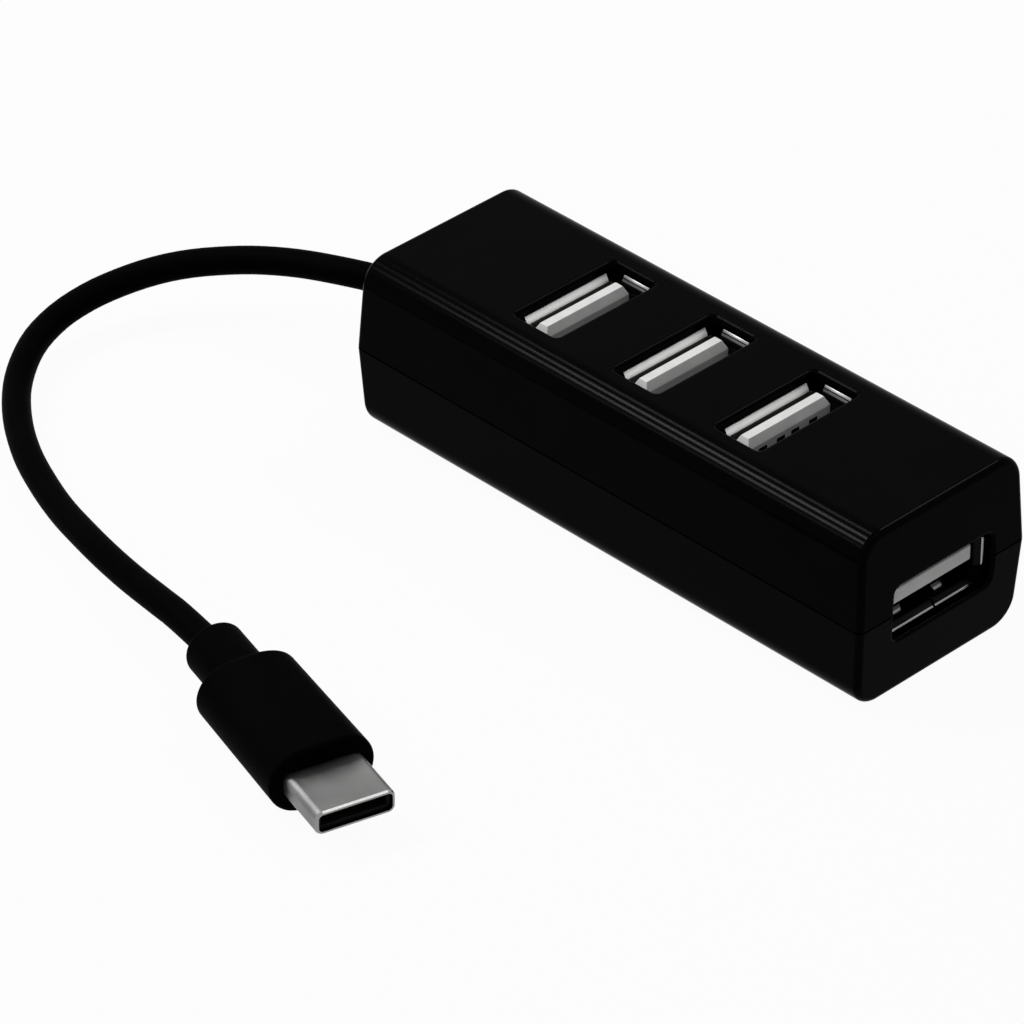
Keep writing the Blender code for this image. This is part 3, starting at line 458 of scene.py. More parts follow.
cableSet = {
    "diameter": 0.003,
    "exit": (-0.0387, 0.0, 0.009),
    "inside": 0.0005,
    "step": 0.0013,
    "fineSteps": 14,
    "roundness": 9,
    "route": (
        (-0.0390, 0.0000, 0.0090), (-0.0425, -0.0006, 0.0089), (-0.0459, -0.0016, 0.0087),
        (-0.0514, -0.0034, 0.0081), (-0.0559, -0.0054, 0.0074), (-0.0594, -0.0076, 0.0067),
        (-0.0622, -0.0101, 0.0061), (-0.0644, -0.0128, 0.0054), (-0.0660, -0.0160, 0.0047),
        (-0.0669, -0.0195, 0.0041), (-0.0670, -0.0236, 0.0034), (-0.0657, -0.0281, 0.0027),
        (-0.0625, -0.0328, 0.0020), (-0.0579, -0.0369, 0.0017), (-0.0525, -0.0403, 0.0016),
        (-0.0472, -0.0427, 0.0016), (-0.0423, -0.0445, 0.0017), (-0.0375, -0.0459, 0.0020),
        (-0.0328, -0.0471, 0.0023), (-0.0278, -0.0482, 0.0027), (-0.0223, -0.0492, 0.0032),
        (-0.0192, -0.0497, 0.0034),
    ),
}

plugSet = {
    "front": (0.0091, -0.0571),
    "yaw": -15.8,
    "width": 0.01105,
    "height": 0.007,
    "rearWidth": 0.01075,
    "rearHeight": 0.0065,
    "length": 0.0164,
    "frontEdge": 0.0005,
    "shoulder": 0.0007,
    "neckWidth": 0.0061,
    "neckHeight": 0.0058,
    "neckLength": 0.0067,
    "neckEdge": 0.0006,
    "neckHollow": 0.0004,
    "shellWidth": 0.00834,
    "shellHeight": 0.00256,
    "shellCorner": 0.0008,
    "shellSheet": 0.00025,
    "mouthChamfer": (0.00021, 0.00013),
    "mouthRing": 0.00019,
    "mouthTurn": 0.00045,
    "mouthFacing": 0.3,
    "shellOut": 0.00665,
    "shellIn": 0.0032,
    "fit": 0.00006,
    "collarEdge": 0.0001,
    "roundSteps": 20,
    "edgeSteps": 7,
    "hollowSteps": 5,
    "shoulderSteps": 10,
    "bodySharp": 50,
    "shellSharp": 25,
}

plugTurn = Matrix.Rotation(math.radians(plugSet["yaw"]), 4, "Z")
plugFrame = Matrix.Translation((*plugSet["front"], plugSet["height"] / 2)) @ plugTurn


def smoothThrough(points, step, fineSteps):
    points = [Vector(p) for p in points]
    padded = [2 * points[0] - points[1], *points, 2 * points[-1] - points[-2]]
    fine = []
    for a, b, c, d in zip(padded, padded[1:], padded[2:], padded[3:]):
        square = 2 * a - 5 * b + 4 * c - d
        cube = 3 * b - a - 3 * c + d
        for t in shares(fineSteps)[:-1]:
            fine.append((2 * b + (c - a) * t + square * t**2 + cube * t**3) / 2)
    fine.append(points[-1])
    runs = [0.0]
    for p, q in zip(fine, fine[1:]):
        runs.append(runs[-1] + (q - p).length)
    count = round(runs[-1] / step)
    even = []
    place = 0
    for k in range(count + 1):
        target = runs[-1] * k / count
        while place < len(fine) - 2 and runs[place + 1] < target:
            place += 1
        share = (target - runs[place]) / (runs[place + 1] - runs[place])
        even.append(fine[place].lerp(fine[place + 1], share))
    return even, runs[-1]


def makeCable(settings):
    start = Vector(settings["exit"]) + Vector((settings["inside"], 0.0, 0.0))
    rear = -plugSet["length"] - plugSet["neckLength"]
    finish = plugFrame @ Vector((rear + settings["inside"], 0.0, 0.0))
    route = [start, *settings["route"], finish]
    points, length = smoothThrough(route, settings["step"], settings["fineSteps"])
    curve = bpy.data.curves.new("hubCable", "CURVE")
    curve.dimensions = "3D"
    curve.bevel_depth = settings["diameter"] / 2
    curve.bevel_resolution = settings["roundness"]
    curve.use_fill_caps = True
    spline = curve.splines.new("POLY")
    spline.points.add(len(points) - 1)
    for slot, point in zip(spline.points, points):
        slot.co = (*point, 1.0)
    spline.use_smooth = True
    curve.materials.append(finishes["satinBlack"])
    cable = addObject("hubCable", curve)
    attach(cable, "root")
    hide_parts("cable")
    print("cable length", round(length, 4))
    return cable, length


cable, cableLength = makeCable(cableSet)


# Grommet: a tapered sleeve with three flex rings

grommetSet = {
    "tipX": -0.0387,
    "wallX": -0.0348,
    "tipRadius": 0.002,
    "neckRadius": 0.0024,
    "flangeRadius": 0.0032,
    "flange": 0.001,
    "tipEdge": 0.0003,
    "tipSteps": 6,
    "rings": 3,
    "ringDepth": 0.00022,
    "ringHalf": 0.00028,
    "ringSteps": 8,
    "firstRing": 0.7,  # of a pitch, from the rounded tip
    "lastGap": 0.5,
    "around": 64,
    "sharpDeg": 50,
}


def makeGrommet(settings):
    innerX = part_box("cable_grommet")[1].x
    height = cableSet["exit"][2]
    tipX, wallX = settings["tipX"], settings["wallX"]

    def taper(x):
        share = (x - tipX) / (wallX - tipX)
        return settings["tipRadius"] + (settings["neckRadius"] - settings["tipRadius"]) * share

    profile = [(tipX, cableSet["diameter"] / 2)]
    edge = settings["tipEdge"]
    for a in quarterSteps(settings["tipSteps"]):
        profile.append((tipX + edge * (1 - math.cos(a)), taper(tipX) - edge * (1 - math.sin(a))))
    pitch = (wallX - tipX - edge) / (settings["rings"] + settings["lastGap"])
    for ring in range(settings["rings"]):
        middle = tipX + edge + pitch * (ring + settings["firstRing"])
        for share in shares(settings["ringSteps"]):
            t = share * 2 - 1
            dip = settings["ringDepth"] * (0.5 + 0.5 * math.cos(math.pi * t))
            x = middle + settings["ringHalf"] * t
            profile.append((x, taper(x) - dip))
    profile.append((wallX, settings["neckRadius"]))
    flangeX = innerX - settings["flange"]
    profile += [
        (flangeX, settings["neckRadius"]),
        (flangeX, settings["flangeRadius"]),
        (innerX, settings["flangeRadius"]),
    ]
    rings = [circle(x, height, radius, settings["around"]) for x, radius in profile]
    mesh = lofted("hubGrommet", rings, settings["sharpDeg"])
    addPiece("hubGrommet", mesh, ["satinBlack"], "cable_grommet", even=False)


makeGrommet(grommetSet)


# Plug: soft overmould with a neck, and the rolled shell that stands out of it

def shellRings(settings, stages):
    # the shell's outline at each place along the plug, set in by an inset
    rings = []
    for x, inset in stages:
        halfY, halfZ = settings["shellWidth"] / 2 - inset, settings["shellHeight"] / 2 - inset
        outline = roundedOutline(halfY, halfZ, settings["shellCorner"] - inset, settings["roundSteps"])
        rings.append([(x, y, z) for y, z in outline])
    return rings


def makePlugBody(settings):
    body = (settings["width"] / 2, settings["height"] / 2)
    hip = (settings["rearWidth"] / 2, settings["rearHeight"] / 2)
    neck = (settings["neckWidth"] / 2, settings["neckHeight"] / 2)
    rear = -settings["length"] - settings["neckLength"]
    stages = [(rear, cableSet["diameter"] / 2, cableSet["diameter"] / 2)]
    edge = settings["neckEdge"]
    for a in quarterSteps(settings["edgeSteps"]):
        shrink = edge * (1 - math.sin(a))
        stages.append((rear + edge * (1 - math.cos(a)), neck[0] - shrink, neck[1] - shrink))
    # the neck runs into the shoulder through a small hollow
    hollow = settings["neckHollow"]
    swell = hollow / 2
    for a in quarterSteps(settings["hollowSteps"]):
        grow = swell * (1 - math.cos(a))
        x = -settings["length"] - hollow * (1 - math.sin(a))
        stages.append((x, neck[0] + grow, neck[1] + grow))
    for a in quarterSteps(settings["shoulderSteps"])[1:]:
        grown = math.sin(a)
        halfY = neck[0] + swell + (hip[0] - neck[0] - swell) * grown
        halfZ = neck[1] + swell + (hip[1] - neck[1] - swell) * grown
        x = -settings["length"] + settings["shoulder"] * (1 - math.cos(a))
        stages.append((x, halfY, halfZ))
    front = settings["frontEdge"]
    for a in quarterSteps(settings["edgeSteps"]):
        shrink = front * (1 - math.cos(a))
        stages.append((-front * (1 - math.sin(a)), body[0] - shrink, body[1] - shrink))
    rings = []
    for x, halfY, halfZ in stages:
        outline = roundedOutline(halfY, halfZ, halfZ, settings["roundSteps"])
        rings.append([(x, y, z) for y, z in outline])
    fit, edge = settings["fit"], settings["collarEdge"]
    rings += shellRings(settings, ((0.0, -fit - edge), (-edge, -fit), (-settings["shellIn"] - fit, -fit)))
    mesh = lofted("plugBody", rings, settings["bodySharp"])
    mesh.transform(plugFrame)
    return addPiece("plugBody", mesh, ["satinBlack"], "plug_overmould")


def makePlugShell(settings):
    sheet = settings["shellSheet"]
    back, front = -settings["shellIn"], settings["shellOut"]
    along, inward = settings["mouthChamfer"]
    stages = (
        (back, 0.0),
        (front - along, 0.0),
        (front, inward),
        (front, inward + settings["mouthRing"]),
        (front - settings["mouthTurn"], sheet),
        (back, sheet),
    )
    mesh = lofted("plugShell", shellRings(settings, stages), settings["shellSharp"], closed=True)
    # one nickel shell: its inside is painted shade and the mouth's chamfer and ring a painted highlight
    toneNames = ("plugNickel", "shadeNickel", "mouthHighlightNickel")
    outside, inside, mouth = range(len(toneNames))
    tones = []
    for face in mesh.polygons:
        outward = face.normal.y * face.center.y + face.normal.z * face.center.z
        tone = outside if outward > 0 else inside
        tones.append(mouth if face.normal.x > settings["mouthFacing"] else tone)
    mesh.transform(plugFrame)
    return addPiece("plugShell", mesh, toneNames, "plug_shell", tones)


plugBody = makePlugBody(plugSet)
plugShell = makePlugShell(plugSet)
print("cable, grommet and plug made")


# Housing: two glossy drafted halves that meet on a seam

housingSet = {
    "length": 0.0694,
    "width": 0.0233,
    "height": 0.0198,
    "seam": 0.0096,
    "draft": 3.15,
    "longRadius": 0.0031,
    "endRadius": 0.0007,
    "wall": 0.0012,
    "topWall": 0.001,
    "floorWall": 0.0012,
    "seamGap": 0.0002,
    "lipHeight": 0.001,
    "lipClearance": 0.00006,
    "rim": 0.0004,
    "topHalf": (0.00297, 0.00695),
    "topCorner": 0.0005,
    "endHalf": (0.00307, 0.006875),
    "endCorner": 0.0009,
    "endShift": (-0.00015, 0.000175),
    "socketPlaces": (-0.01375, 0.0, 0.01375),
    "endSocketHeight": 0.0095,
    "cableHole": 0.0025,
    "overrun": 0.001,
    "filletSteps": 28,
    "innerSteps": 8,
    "endSteps": 8,
    "rimSteps": 6,
    "cornerSteps": 9,
    "seamSteps": 6,
    "holeSteps": 64,
    "sharpDeg": 28,
}
draftSlope = math.tan(math.radians(housingSet["draft"]))


def halfShell(name, side, inset, far, corner, edge, start, steps):
    # a drafted half on one side of the seam: inset moves its walls in, far is its reach from the seam
    lean = math.radians(housingSet["draft"])
    halfLength = housingSet["length"] / 2 - inset
    halfWidth = housingSet["width"] / 2 - inset
    centreT = far - corner
    centreY = halfWidth - draftSlope * centreT - corner / math.cos(lean)

    def ring(end, shrink, back):
        fall = draftSlope * start
        points = [(halfLength - fall - back, halfWidth - fall - shrink, start)]
        reach = corner - shrink
        for k in range(steps + 1):
            angle = lean + (math.pi / 2 - lean) * k / steps
            t = centreT + reach * math.sin(angle)
            points.append((halfLength - draftSlope * t - back, centreY + reach * math.cos(angle), t))
        points += [(x, -y, t) for x, y, t in reversed(points)]
        return [(end * x, y, housingSet["seam"] + side * t) for x, y, t in points]

    turns = quarterSteps(housingSet["endSteps"])
    rolls = [(edge * (1 - math.sin(a)), edge * (1 - math.cos(a))) for a in turns] if edge else [(0.0, 0.0)]
    rings = [ring(-1, *roll) for roll in rolls]
    rings += [ring(1, *roll) for roll in reversed(rolls)]
    bm = bmesh.new()
    loops = skin(bm, rings, capped=False)
    for loop in (loops[0], loops[-1]):  # each end is closed by a ladder of strips across it
        for i in range(len(loop) // 2 - 1):
            bm.faces.new((loop[i], loop[i + 1], loop[-2 - i], loop[-1 - i]))
    return toMesh(bm, name)


def seamRing(outerInset, innerInset, low, high):
    rings = []
    for inset, z in ((outerInset, low), (outerInset, high), (innerInset, high), (innerInset, low)):
        halfX, halfY = housingSet["length"] / 2 - inset, housingSet["width"] / 2 - inset
        outline = roundedOutline(halfX, halfY, housingSet["endRadius"], housingSet["seamSteps"])
        rings.append([(x, y, z) for x, y in outline])
    return lofted("seamRing", rings, closed=True)


def rimProfile(wall):
    rim, over = housingSet["rim"], housingSet["overrun"]
    profile = [(0.0, -wall - over)]
    for a in quarterSteps(housingSet["rimSteps"]):
        profile.append((rim * (1 - math.cos(a)), rim * (math.sin(a) - 1)))
    profile.append((rim, over))
    return profile


def openingOutline(half, corner, growth):
    return roundedOutline(half[0] + growth, half[1] + growth, corner + growth, housingSet["cornerSteps"])


def topOpening(x):
    rings = []
    for growth, height in rimProfile(housingSet["topWall"]):
        outline = openingOutline(housingSet["topHalf"], housingSet["topCorner"], growth)
        rings.append([(x + u, v, housingSet["height"] + height) for u, v in outline])
    return lofted("topOpening", rings)


def endOpening():
    up, across = housingSet["endShift"]
    rings = []
    for growth, height in rimProfile(housingSet["wall"]):
        ring = []
        for u, v in openingOutline(housingSet["endHalf"], housingSet["endCorner"], growth):
            z = housingSet["endSocketHeight"] + up + u
            face = housingSet["length"] / 2 - draftSlope * abs(z - housingSet["seam"])
            ring.append((face + height, v + across, z))
        rings.append(ring)
    return lofted("endOpening", rings)


def cableHole():
    outX, over = -housingSet["length"] / 2, housingSet["overrun"]
    height, radius = cableSet["exit"][2], housingSet["cableHole"]
    ends = (outX - over, outX + housingSet["wall"] + over)
    return lofted("cableHole", [circle(x, height, radius, housingSet["holeSteps"]) for x in ends])


def makeHousing(settings):
    seam = settings["seam"]
    upperFar = settings["height"] - seam
    wall, over, corner = settings["wall"], settings["overrun"], settings["longRadius"]
    outer = (corner, settings["endRadius"], settings["seamGap"] / 2, settings["filletSteps"])
    inner = (corner - wall, 0.0, -over, settings["innerSteps"])
    upper = halfShell("upperHalf", 1, 0.0, upperFar, *outer)
    lower = halfShell("lowerHalf", -1, 0.0, seam, *outer)
    upperRoom = halfShell("upperRoom", 1, wall, upperFar - settings["topWall"], *inner)
    lowerRoom = halfShell("lowerRoom", -1, wall, seam - settings["floorWall"], *inner)
    lipLow, lipHigh = seam - settings["lipHeight"], seam + settings["lipHeight"]
    lip = seamRing(wall / 2 + settings["lipClearance"], wall, lipLow, lipHigh)
    rebate = seamRing(wall / 2, wall + over, lipLow, lipHigh + settings["seamGap"])
    topCuts = [("DIFFERENCE", topOpening(x)) for x in settings["socketPlaces"]]
    endCuts = [("DIFFERENCE", endOpening()), ("DIFFERENCE", cableHole())]
    upperCuts = [("DIFFERENCE", upperRoom), ("DIFFERENCE", rebate), *topCuts, *endCuts]
    lowerCuts = [("DIFFERENCE", lowerRoom), ("UNION", lip), *endCuts]
    for name, mesh, cuts, node in (
        ("hubUpperHalf", upper, upperCuts, "upper_shell"),
        ("hubLowerHalf", lower, lowerCuts, "lower_shell"),
    ):
        mesh = shaped(mesh, cuts, settings["sharpDeg"])
        addPiece(name, mesh, ["glossBlack"], node)
        print(name, "has", len(mesh.polygons), "faces")


makeHousing(housingSet)


# Sockets: sheet shells with flared lips and sprung fingers, and tongues with four slots

socketSet = {
    "innerWidth": 0.0125,
    "innerHeight": 0.0051,
    "sheet": 0.0003,
    "corner": 0.0004,
    "topFlare": (0.00035, 0.00045),
    "endFlare": (0.00064, 0.0009),
    "topLip": 0.00085,
    "endLip": 0.0006,
    "longLip": (-0.0055, 0.0059),
    "topShortLip": (-0.00125, 0.00225),
    "topShortRise": 0.0002,
    "endShortLip": (-0.0016, 0.0016),
    "endShortRise": 0.0,
    "lipSeam": 0.00025,
    "lipSeamAt": 0.00045,
    "legWidth": 0.0016,
    "legLength": 0.0022,
    "legThickness": 0.00033,
    "springWidth": 0.0018,
    "springOffset": 0.0029,
    "topSpringShift": 0.0,
    "endSpringShift": -0.0006,
    "springSlit": 0.0003,
    "springRise": 0.0007,
    "springRoot": 0.008,
    "springCrest": 0.0023,
    "springTip": 0.0013,
    "springTaper": 0.0004,
    "cornerSteps": 7,
    "topLipSteps": 10,
    "endLipSteps": 6,
    "springSteps": 5,
    "tipSteps": 5,
    # depths at which the shell is painted lighter or darker: a painted highlight on the far lip, painted
    # half shade on the wall under it, painted light and shade bands on the short lip, and painted shade to
    # painted highlight along the finger tips
    "farLipHighlight": 0.0008,
    "farWallHalfShade": 0.0028,
    "sideLipLightBands": (0.0001, -0.00003, -0.00026),
    "fingerLightSteps": (-0.0016, -0.0014),
    "shortBand": 0.0001,
    "lipSlack": 0.00001,
    "squareOn": 0.99,
    "innerFacing": -0.2,
    "edgeFacing": 0.6,
    "fingerFacing": 0.2,
    "sheetEdge": 0.00007,
    "edgeSegments": 2,
    "edgeAngle": 50,
    "sharpDeg": 40,
    "topMouth": 0.0187,
    "topDepth": 0.01205,
    "endMouth": 0.033243,
    "endDepth": 0.012,
    "boardReach": 0.00485,
}
hairGap = 1e-9  # slack where two places are compared

tongueSet = {
    "width": 0.0111,
    "topReach": 0.0004,
    "thickness": 0.00195,
    "contactSide": 0.00025,
    "topChamfer": (0.00048, 0.00093),
    "endChamfer": (0.0002, 0.00035),
    "edgeSoft": 0.00006,
    "edgeEase": (0.15, 0.6, 0.55, 0.3),
    "cornerRound": 0.00012,
    "cornerSteps": 4,
    "base": 0.0016,
    "baseSteps": 6,
    "slotPlaces": (-0.0035, -0.001, 0.001, 0.0035),
    "slotWidth": 0.00115,
    "slotDepth": 0.00047,
    "pocketDepth": 0.0015,
    "pocketTop": -0.0014,
    "pocketFoot": -0.00205,
    "pocketDrops": (0.0006, 0.0006, 0.0, 0.0),
    "overrun": 0.0005,
    "slotSlack": 0.00002,
    "seatGap": 0.0001,
    "sharpDeg": 24,
}


def shellStations(settings, shortLip, springShift):
    across = settings["innerHeight"] / 2 + settings["sheet"] / 2
    wide = settings["innerWidth"] / 2 + settings["sheet"] / 2
    corner = settings["corner"]
    half = settings["springWidth"] / 2
    springEdges = []
    for side in (-1, 1):
        middle = springShift + side * settings["springOffset"]
        for reach in (half, half + settings["springSlit"]):
            springEdges += [middle - reach, middle + reach]
    stations = []

    def straight(places, point, normal, lipSpan):
        for place in places:
            onLip = lipSpan[0] - hairGap <= place <= lipSpan[1] + hairGap
            stations.append((*point(place), *normal, onLip))

    def bend(x, y, start):
        for k in range(1, settings["cornerSteps"]):
            angle = math.radians(start + 90 * k / settings["cornerSteps"])
            nx, ny = math.cos(angle), math.sin(angle)
            stations.append((x + corner * nx, y + corner * ny, nx, ny, False))

    flatY, flatX = wide - corner, across - corner
    longLip = settings["longLip"]
    seam = settings["lipSeam"] / 2
    seams = [settings["lipSeamAt"] - seam, settings["lipSeamAt"] + seam]
    longPlaces = sorted({-flatY, *longLip, flatY})
    shortPlaces = sorted({-flatX, *shortLip, flatX})
    contactPlaces = sorted(longPlaces + springEdges + seams)
    straight(contactPlaces, lambda p: (across, p), (1, 0), longLip)
    bend(flatX, flatY, 0)
    straight(shortPlaces[::-1], lambda p: (p, wide), (0, 1), shortLip)
    bend(-flatX, flatY, 90)
    straight(longPlaces[::-1], lambda p: (-across, p), (-1, 0), longLip)
    bend(-flatX, -flatY, 180)
    straight(shortPlaces, lambda p: (p, -wide), (0, -1), shortLip)
    bend(flatX, -flatY, 270)
    return stations


shellLightAndShade = ("wallShadeNickel", "halfShadeNickel", "lipHighlightNickel", "shadeNickel", "mouthHighlightNickel", "plugNickel")


def shellPaintedLight(mesh, lying, lip, settings):
    # painted light and shade on one nickel sheet: the far lip, the short lip's top and the sheet edges get
    # a painted highlight, a grey band under them is painted half shade, and the walls, the end socket's
    # inside and the finger roots are painted shade, brightening towards the finger tips
    wall, side, bright, shade, edge, plain = range(len(shellLightAndShade))
    tones = []
    for face in mesh.polygons:
        x, y, z = face.center
        rise = face.normal.z
        outward = Vector((math.copysign(1.0, x), 0.0, 0.0))
        if abs(y) > settings["innerWidth"] / 2 - settings["shortBand"]:
            outward = Vector((0.0, math.copysign(1.0, y), 0.0))
        inner = face.normal.dot(outward) < settings["innerFacing"]
        far = outward.x < 0 and not lying
        onFinger = outward.x > 0 and -settings["springCrest"] < z < -settings["springTip"]
        tone = shade if lying else wall
        if z > -lip - settings["lipSlack"]:
            atEdge = z > -settings["sheetEdge"] and rise > settings["edgeFacing"]
            if lying:
                tone = edge if atEdge else shade
            elif far and (atEdge or inner):
                tone = bright if z > -settings["farLipHighlight"] else side
            elif outward.y > 0 and (atEdge or inner):
                brightTo, greyFrom, greyTo = settings["sideLipLightBands"]
                tone = plain if z > brightTo else side if greyTo < z < greyFrom else shade
            elif atEdge:
                tone = side
        elif inner and far and z > -settings["farWallHalfShade"]:
            tone = side
        elif onFinger and rise > settings["fingerFacing"]:
            greyFrom, plainFrom = settings["fingerLightSteps"]
            tone = plain if z > plainFrom else wall if z > greyFrom else tone
        tones.append(tone)
    return tones


def makeSocketShell(name, place, depth, lying, replaced, settings):
    kind = "end" if lying else "top"
    springShift = settings[kind + "SpringShift"]
    stations = shellStations(settings, settings[kind + "ShortLip"], springShift)
    lip, lipSteps = settings[kind + "Lip"], settings[kind + "LipSteps"]
    longFlare, shortFlare = settings[kind + "Flare"]
    shortRise = settings[kind + "ShortRise"]
    slit, tip = settings["springSlit"], settings["springTip"]
    root, crest, rise = settings["springRoot"], settings["springCrest"], settings["springRise"]
    levels = [(-depth, 0.0, 0.0)]
    for t in shares(settings["springSteps"]):  # the finger rises in a long curve to its crest
        levels.append((-root + (root - crest) * t, rise * t * t * (3 - 2 * t), 0.0))
    for t in shares(settings["tipSteps"])[1:]:  # and curls back to a narrower tip
        levels.append((-crest + (crest - tip) * t, rise * (1 - t * t), settings["springTaper"] * t * t))
    fingerTop = len(levels) - 1
    levels.append((-tip + slit, 0.0, 0.0))
    levels.append((-lip, 0.0, 0.0))

    def onContactSide(station):
        return station[2] > settings["squareOn"]

    def offSpring(y):
        return abs(abs(y - springShift) - settings["springOffset"])

    def inSpring(first, second, spread):
        both = onContactSide(first) and onContactSide(second)
        return both and offSpring((first[1] + second[1]) / 2) < spread

    def onSpring(station):
        return onContactSide(station) and offSpring(station[1]) < settings["springWidth"] / 2 + slit / 2

    def fingerSide(y):
        fromMiddle = y - springShift
        return math.copysign(1.0, fromMiddle - math.copysign(settings["springOffset"], fromMiddle))

    bm = bmesh.new()
    grid = []
    lips = {}
    for i, station in enumerate(stations):
        x, y, nx, ny, onLip = station
        column = []
        for z, inward, pinch in levels:
            inward, pinch = (inward, pinch * fingerSide(y)) if onSpring(station) else (0.0, 0.0)
            column.append(bm.verts.new((x - nx * inward, y - ny * inward - pinch, z)))
        grid.append(column)
        if onLip:
            lips[i] = [column[-1]]
            for t in shares(lipSteps)[1:]:
                short = abs(ny) > settings["squareOn"]
                out = shortFlare if short else longFlare
                out *= t * t if short and not lying else t * t * (3 - 2 * t)
                z = -lip * (1 - t) + (shortRise * t if short else 0.0)
                lips[i].append(bm.verts.new((x + nx * out, y + ny * out, z)))
    for i, first in enumerate(stations):
        j = (i + 1) % len(stations)
        second = stations[j]
        inWindow = inSpring(first, second, settings["springWidth"] / 2 + slit)
        inFinger = inSpring(first, second, settings["springWidth"] / 4)
        for k in range(len(levels) - 1):
            if 1 <= k <= fingerTop and inWindow and not (inFinger and k < fingerTop):
                continue
            bm.faces.new((grid[i][k], grid[j][k], grid[j][k + 1], grid[i][k + 1]))
        atSeam = abs((first[1] + second[1]) / 2 - settings["lipSeamAt"]) < hairGap
        atSeam = atSeam and onContactSide(first) and onContactSide(second)
        if i in lips and j in lips and not atSeam:
            for k in range(lipSteps):
                bm.faces.new((lips[i][k], lips[j][k], lips[j][k + 1], lips[i][k + 1]))
    body = addObject("sheet", toMesh(bm, name, settings["sharpDeg"]))
    thick = body.modifiers.new("sheet", "SOLIDIFY")
    thick.thickness = settings["sheet"]
    thick.offset = 0.0
    thick.use_even_offset = True
    soften = body.modifiers.new("sheetEdge", "BEVEL")
    soften.width = settings["sheetEdge"]
    soften.segments = settings["edgeSegments"]
    soften.limit_method = "ANGLE"
    soften.angle_limit = math.radians(settings["edgeAngle"])
    legs = boxes("legs", shellLegs(depth, lying, settings))
    mesh = shaped(applied(body), [("UNION", legs)], settings["sharpDeg"])
    tones = shellPaintedLight(mesh, lying, lip, settings)
    mesh.transform(place)
    addPiece(name, mesh, shellLightAndShade, replaced, tones)


def makeTongue(name, place, depth, lying, replaced, pocketDrop, settings):
    gap, soft = settings["seatGap"], settings["edgeSoft"]
    across, wide = socketSet["innerHeight"] / 2 - gap, socketSet["innerWidth"] / 2 - gap
    baseTop = -depth + settings["base"]
    rings = []
    for z, inset in ((-depth, soft), (-depth + soft, 0.0), (baseTop - soft, 0.0), (baseTop, soft)):
        outline = roundedOutline(across - inset, wide - inset, socketSet["corner"], settings["baseSteps"])
        rings.append([(x, y, z) for x, y in outline])
    base = lofted(name, rings)

    side, halfX = settings["contactSide"], settings["thickness"] / 2
    reach = 0.0 if lying else settings["topReach"] / 2
    halfY = settings["width"] / 2 + reach
    inTop, down = settings["endChamfer" if lying else "topChamfer"]
    ease = [soft * share for share in settings["edgeEase"]]
    stages = (
        (-depth + settings["base"] / 2, 0.0),
        (-down - soft, 0.0),
        (-down, ease[0]),
        (-down + soft, ease[1]),
        (-soft, inTop - ease[2]),
        (-ease[3], inTop),
        (0.0, inTop + soft),
    )
    corner = (settings["cornerRound"], settings["cornerSteps"])
    rings = []
    for z, inset in stages:
        outline = roundedOutline(halfX - inset, halfY - inset, *corner)
        rings.append([(side - halfX + x, y + reach, z) for x, y in outline])
    steps = [("UNION", lofted("tongue", rings))]

    # a groove for each contact, with a deeper pocket over its tip
    half, over, slack = settings["slotWidth"] / 2, settings["overrun"], settings["slotSlack"]
    foot, top = settings["pocketFoot"] - pocketDrop, settings["pocketTop"] - pocketDrop
    groove = (settings["slotDepth"], -depth - over, foot)
    pocket = (settings["pocketDepth"], foot, top)
    places = settings["slotPlaces"]
    for deep, low, high in (groove, pocket):
        corners = [((side - deep, y - half, low), (side + over, y + half, high)) for y in places]
        steps.append(("DIFFERENCE", boxes("slots", corners)))
    mesh = shaped(base, steps, settings["sharpDeg"])
    tones = []
    for face in mesh.polygons:  # the pocket faces are painted shade in the black insulator colour, as the pockets are deep
        x, y, z = face.center
        inSlot = min(abs(y - at) for at in places) < half + slack / 2
        tones.append(int(inSlot and x < side - slack and foot - slack < z < top + slack))
    mesh.transform(place)
    addPiece(name, mesh, ["ivoryTongue", "insulatorBlackAndPocketShade"], replaced, tones)


def shellLegs(depth, lying, settings):
    legs = []
    wallY = settings["innerWidth"] / 2 + settings["sheet"] / 2
    half, wide = settings["legThickness"] / 2, settings["legWidth"]
    for side in (-1, 1):
        lowY, highY = side * wallY - half, side * wallY + half
        if lying:
            low = (0.0, lowY, -depth / 2 - wide / 2)
            high = (settings["boardReach"], highY, -depth / 2 + wide / 2)
        else:
            low = (-wide / 2, lowY, -depth - settings["legLength"])
            high = (wide / 2, highY, -depth + wide)
        legs.append((low, high))
    return legs


def makeSockets(settings):
    spots = []
    for number, x in enumerate(housingSet["socketPlaces"], 1):
        place = Matrix.Translation((x, 0.0, settings["topMouth"]))
        spots.append((f"topSocket{number}", f"top_socket_{number}", place, settings["topDepth"], False))
    place = Matrix.Translation((settings["endMouth"], 0.0, housingSet["endSocketHeight"]))
    place = place @ Matrix.Rotation(math.pi / 2, 4, "Y")
    spots.append(("endSocket", "end_socket", place, settings["endDepth"], True))
    for (name, node, place, depth, lying), drop in zip(spots, tongueSet["pocketDrops"]):
        makeSocketShell(name + "Shell", place, depth, lying, node + "_shell", settings)
        makeTongue(name + "Tongue", place, depth, lying, node + "_insulator", drop, tongueSet)
        print(name, "made")


makeSockets(socketSet)


# Finishes on the nodes that stay as they are, inside the housing and the plug

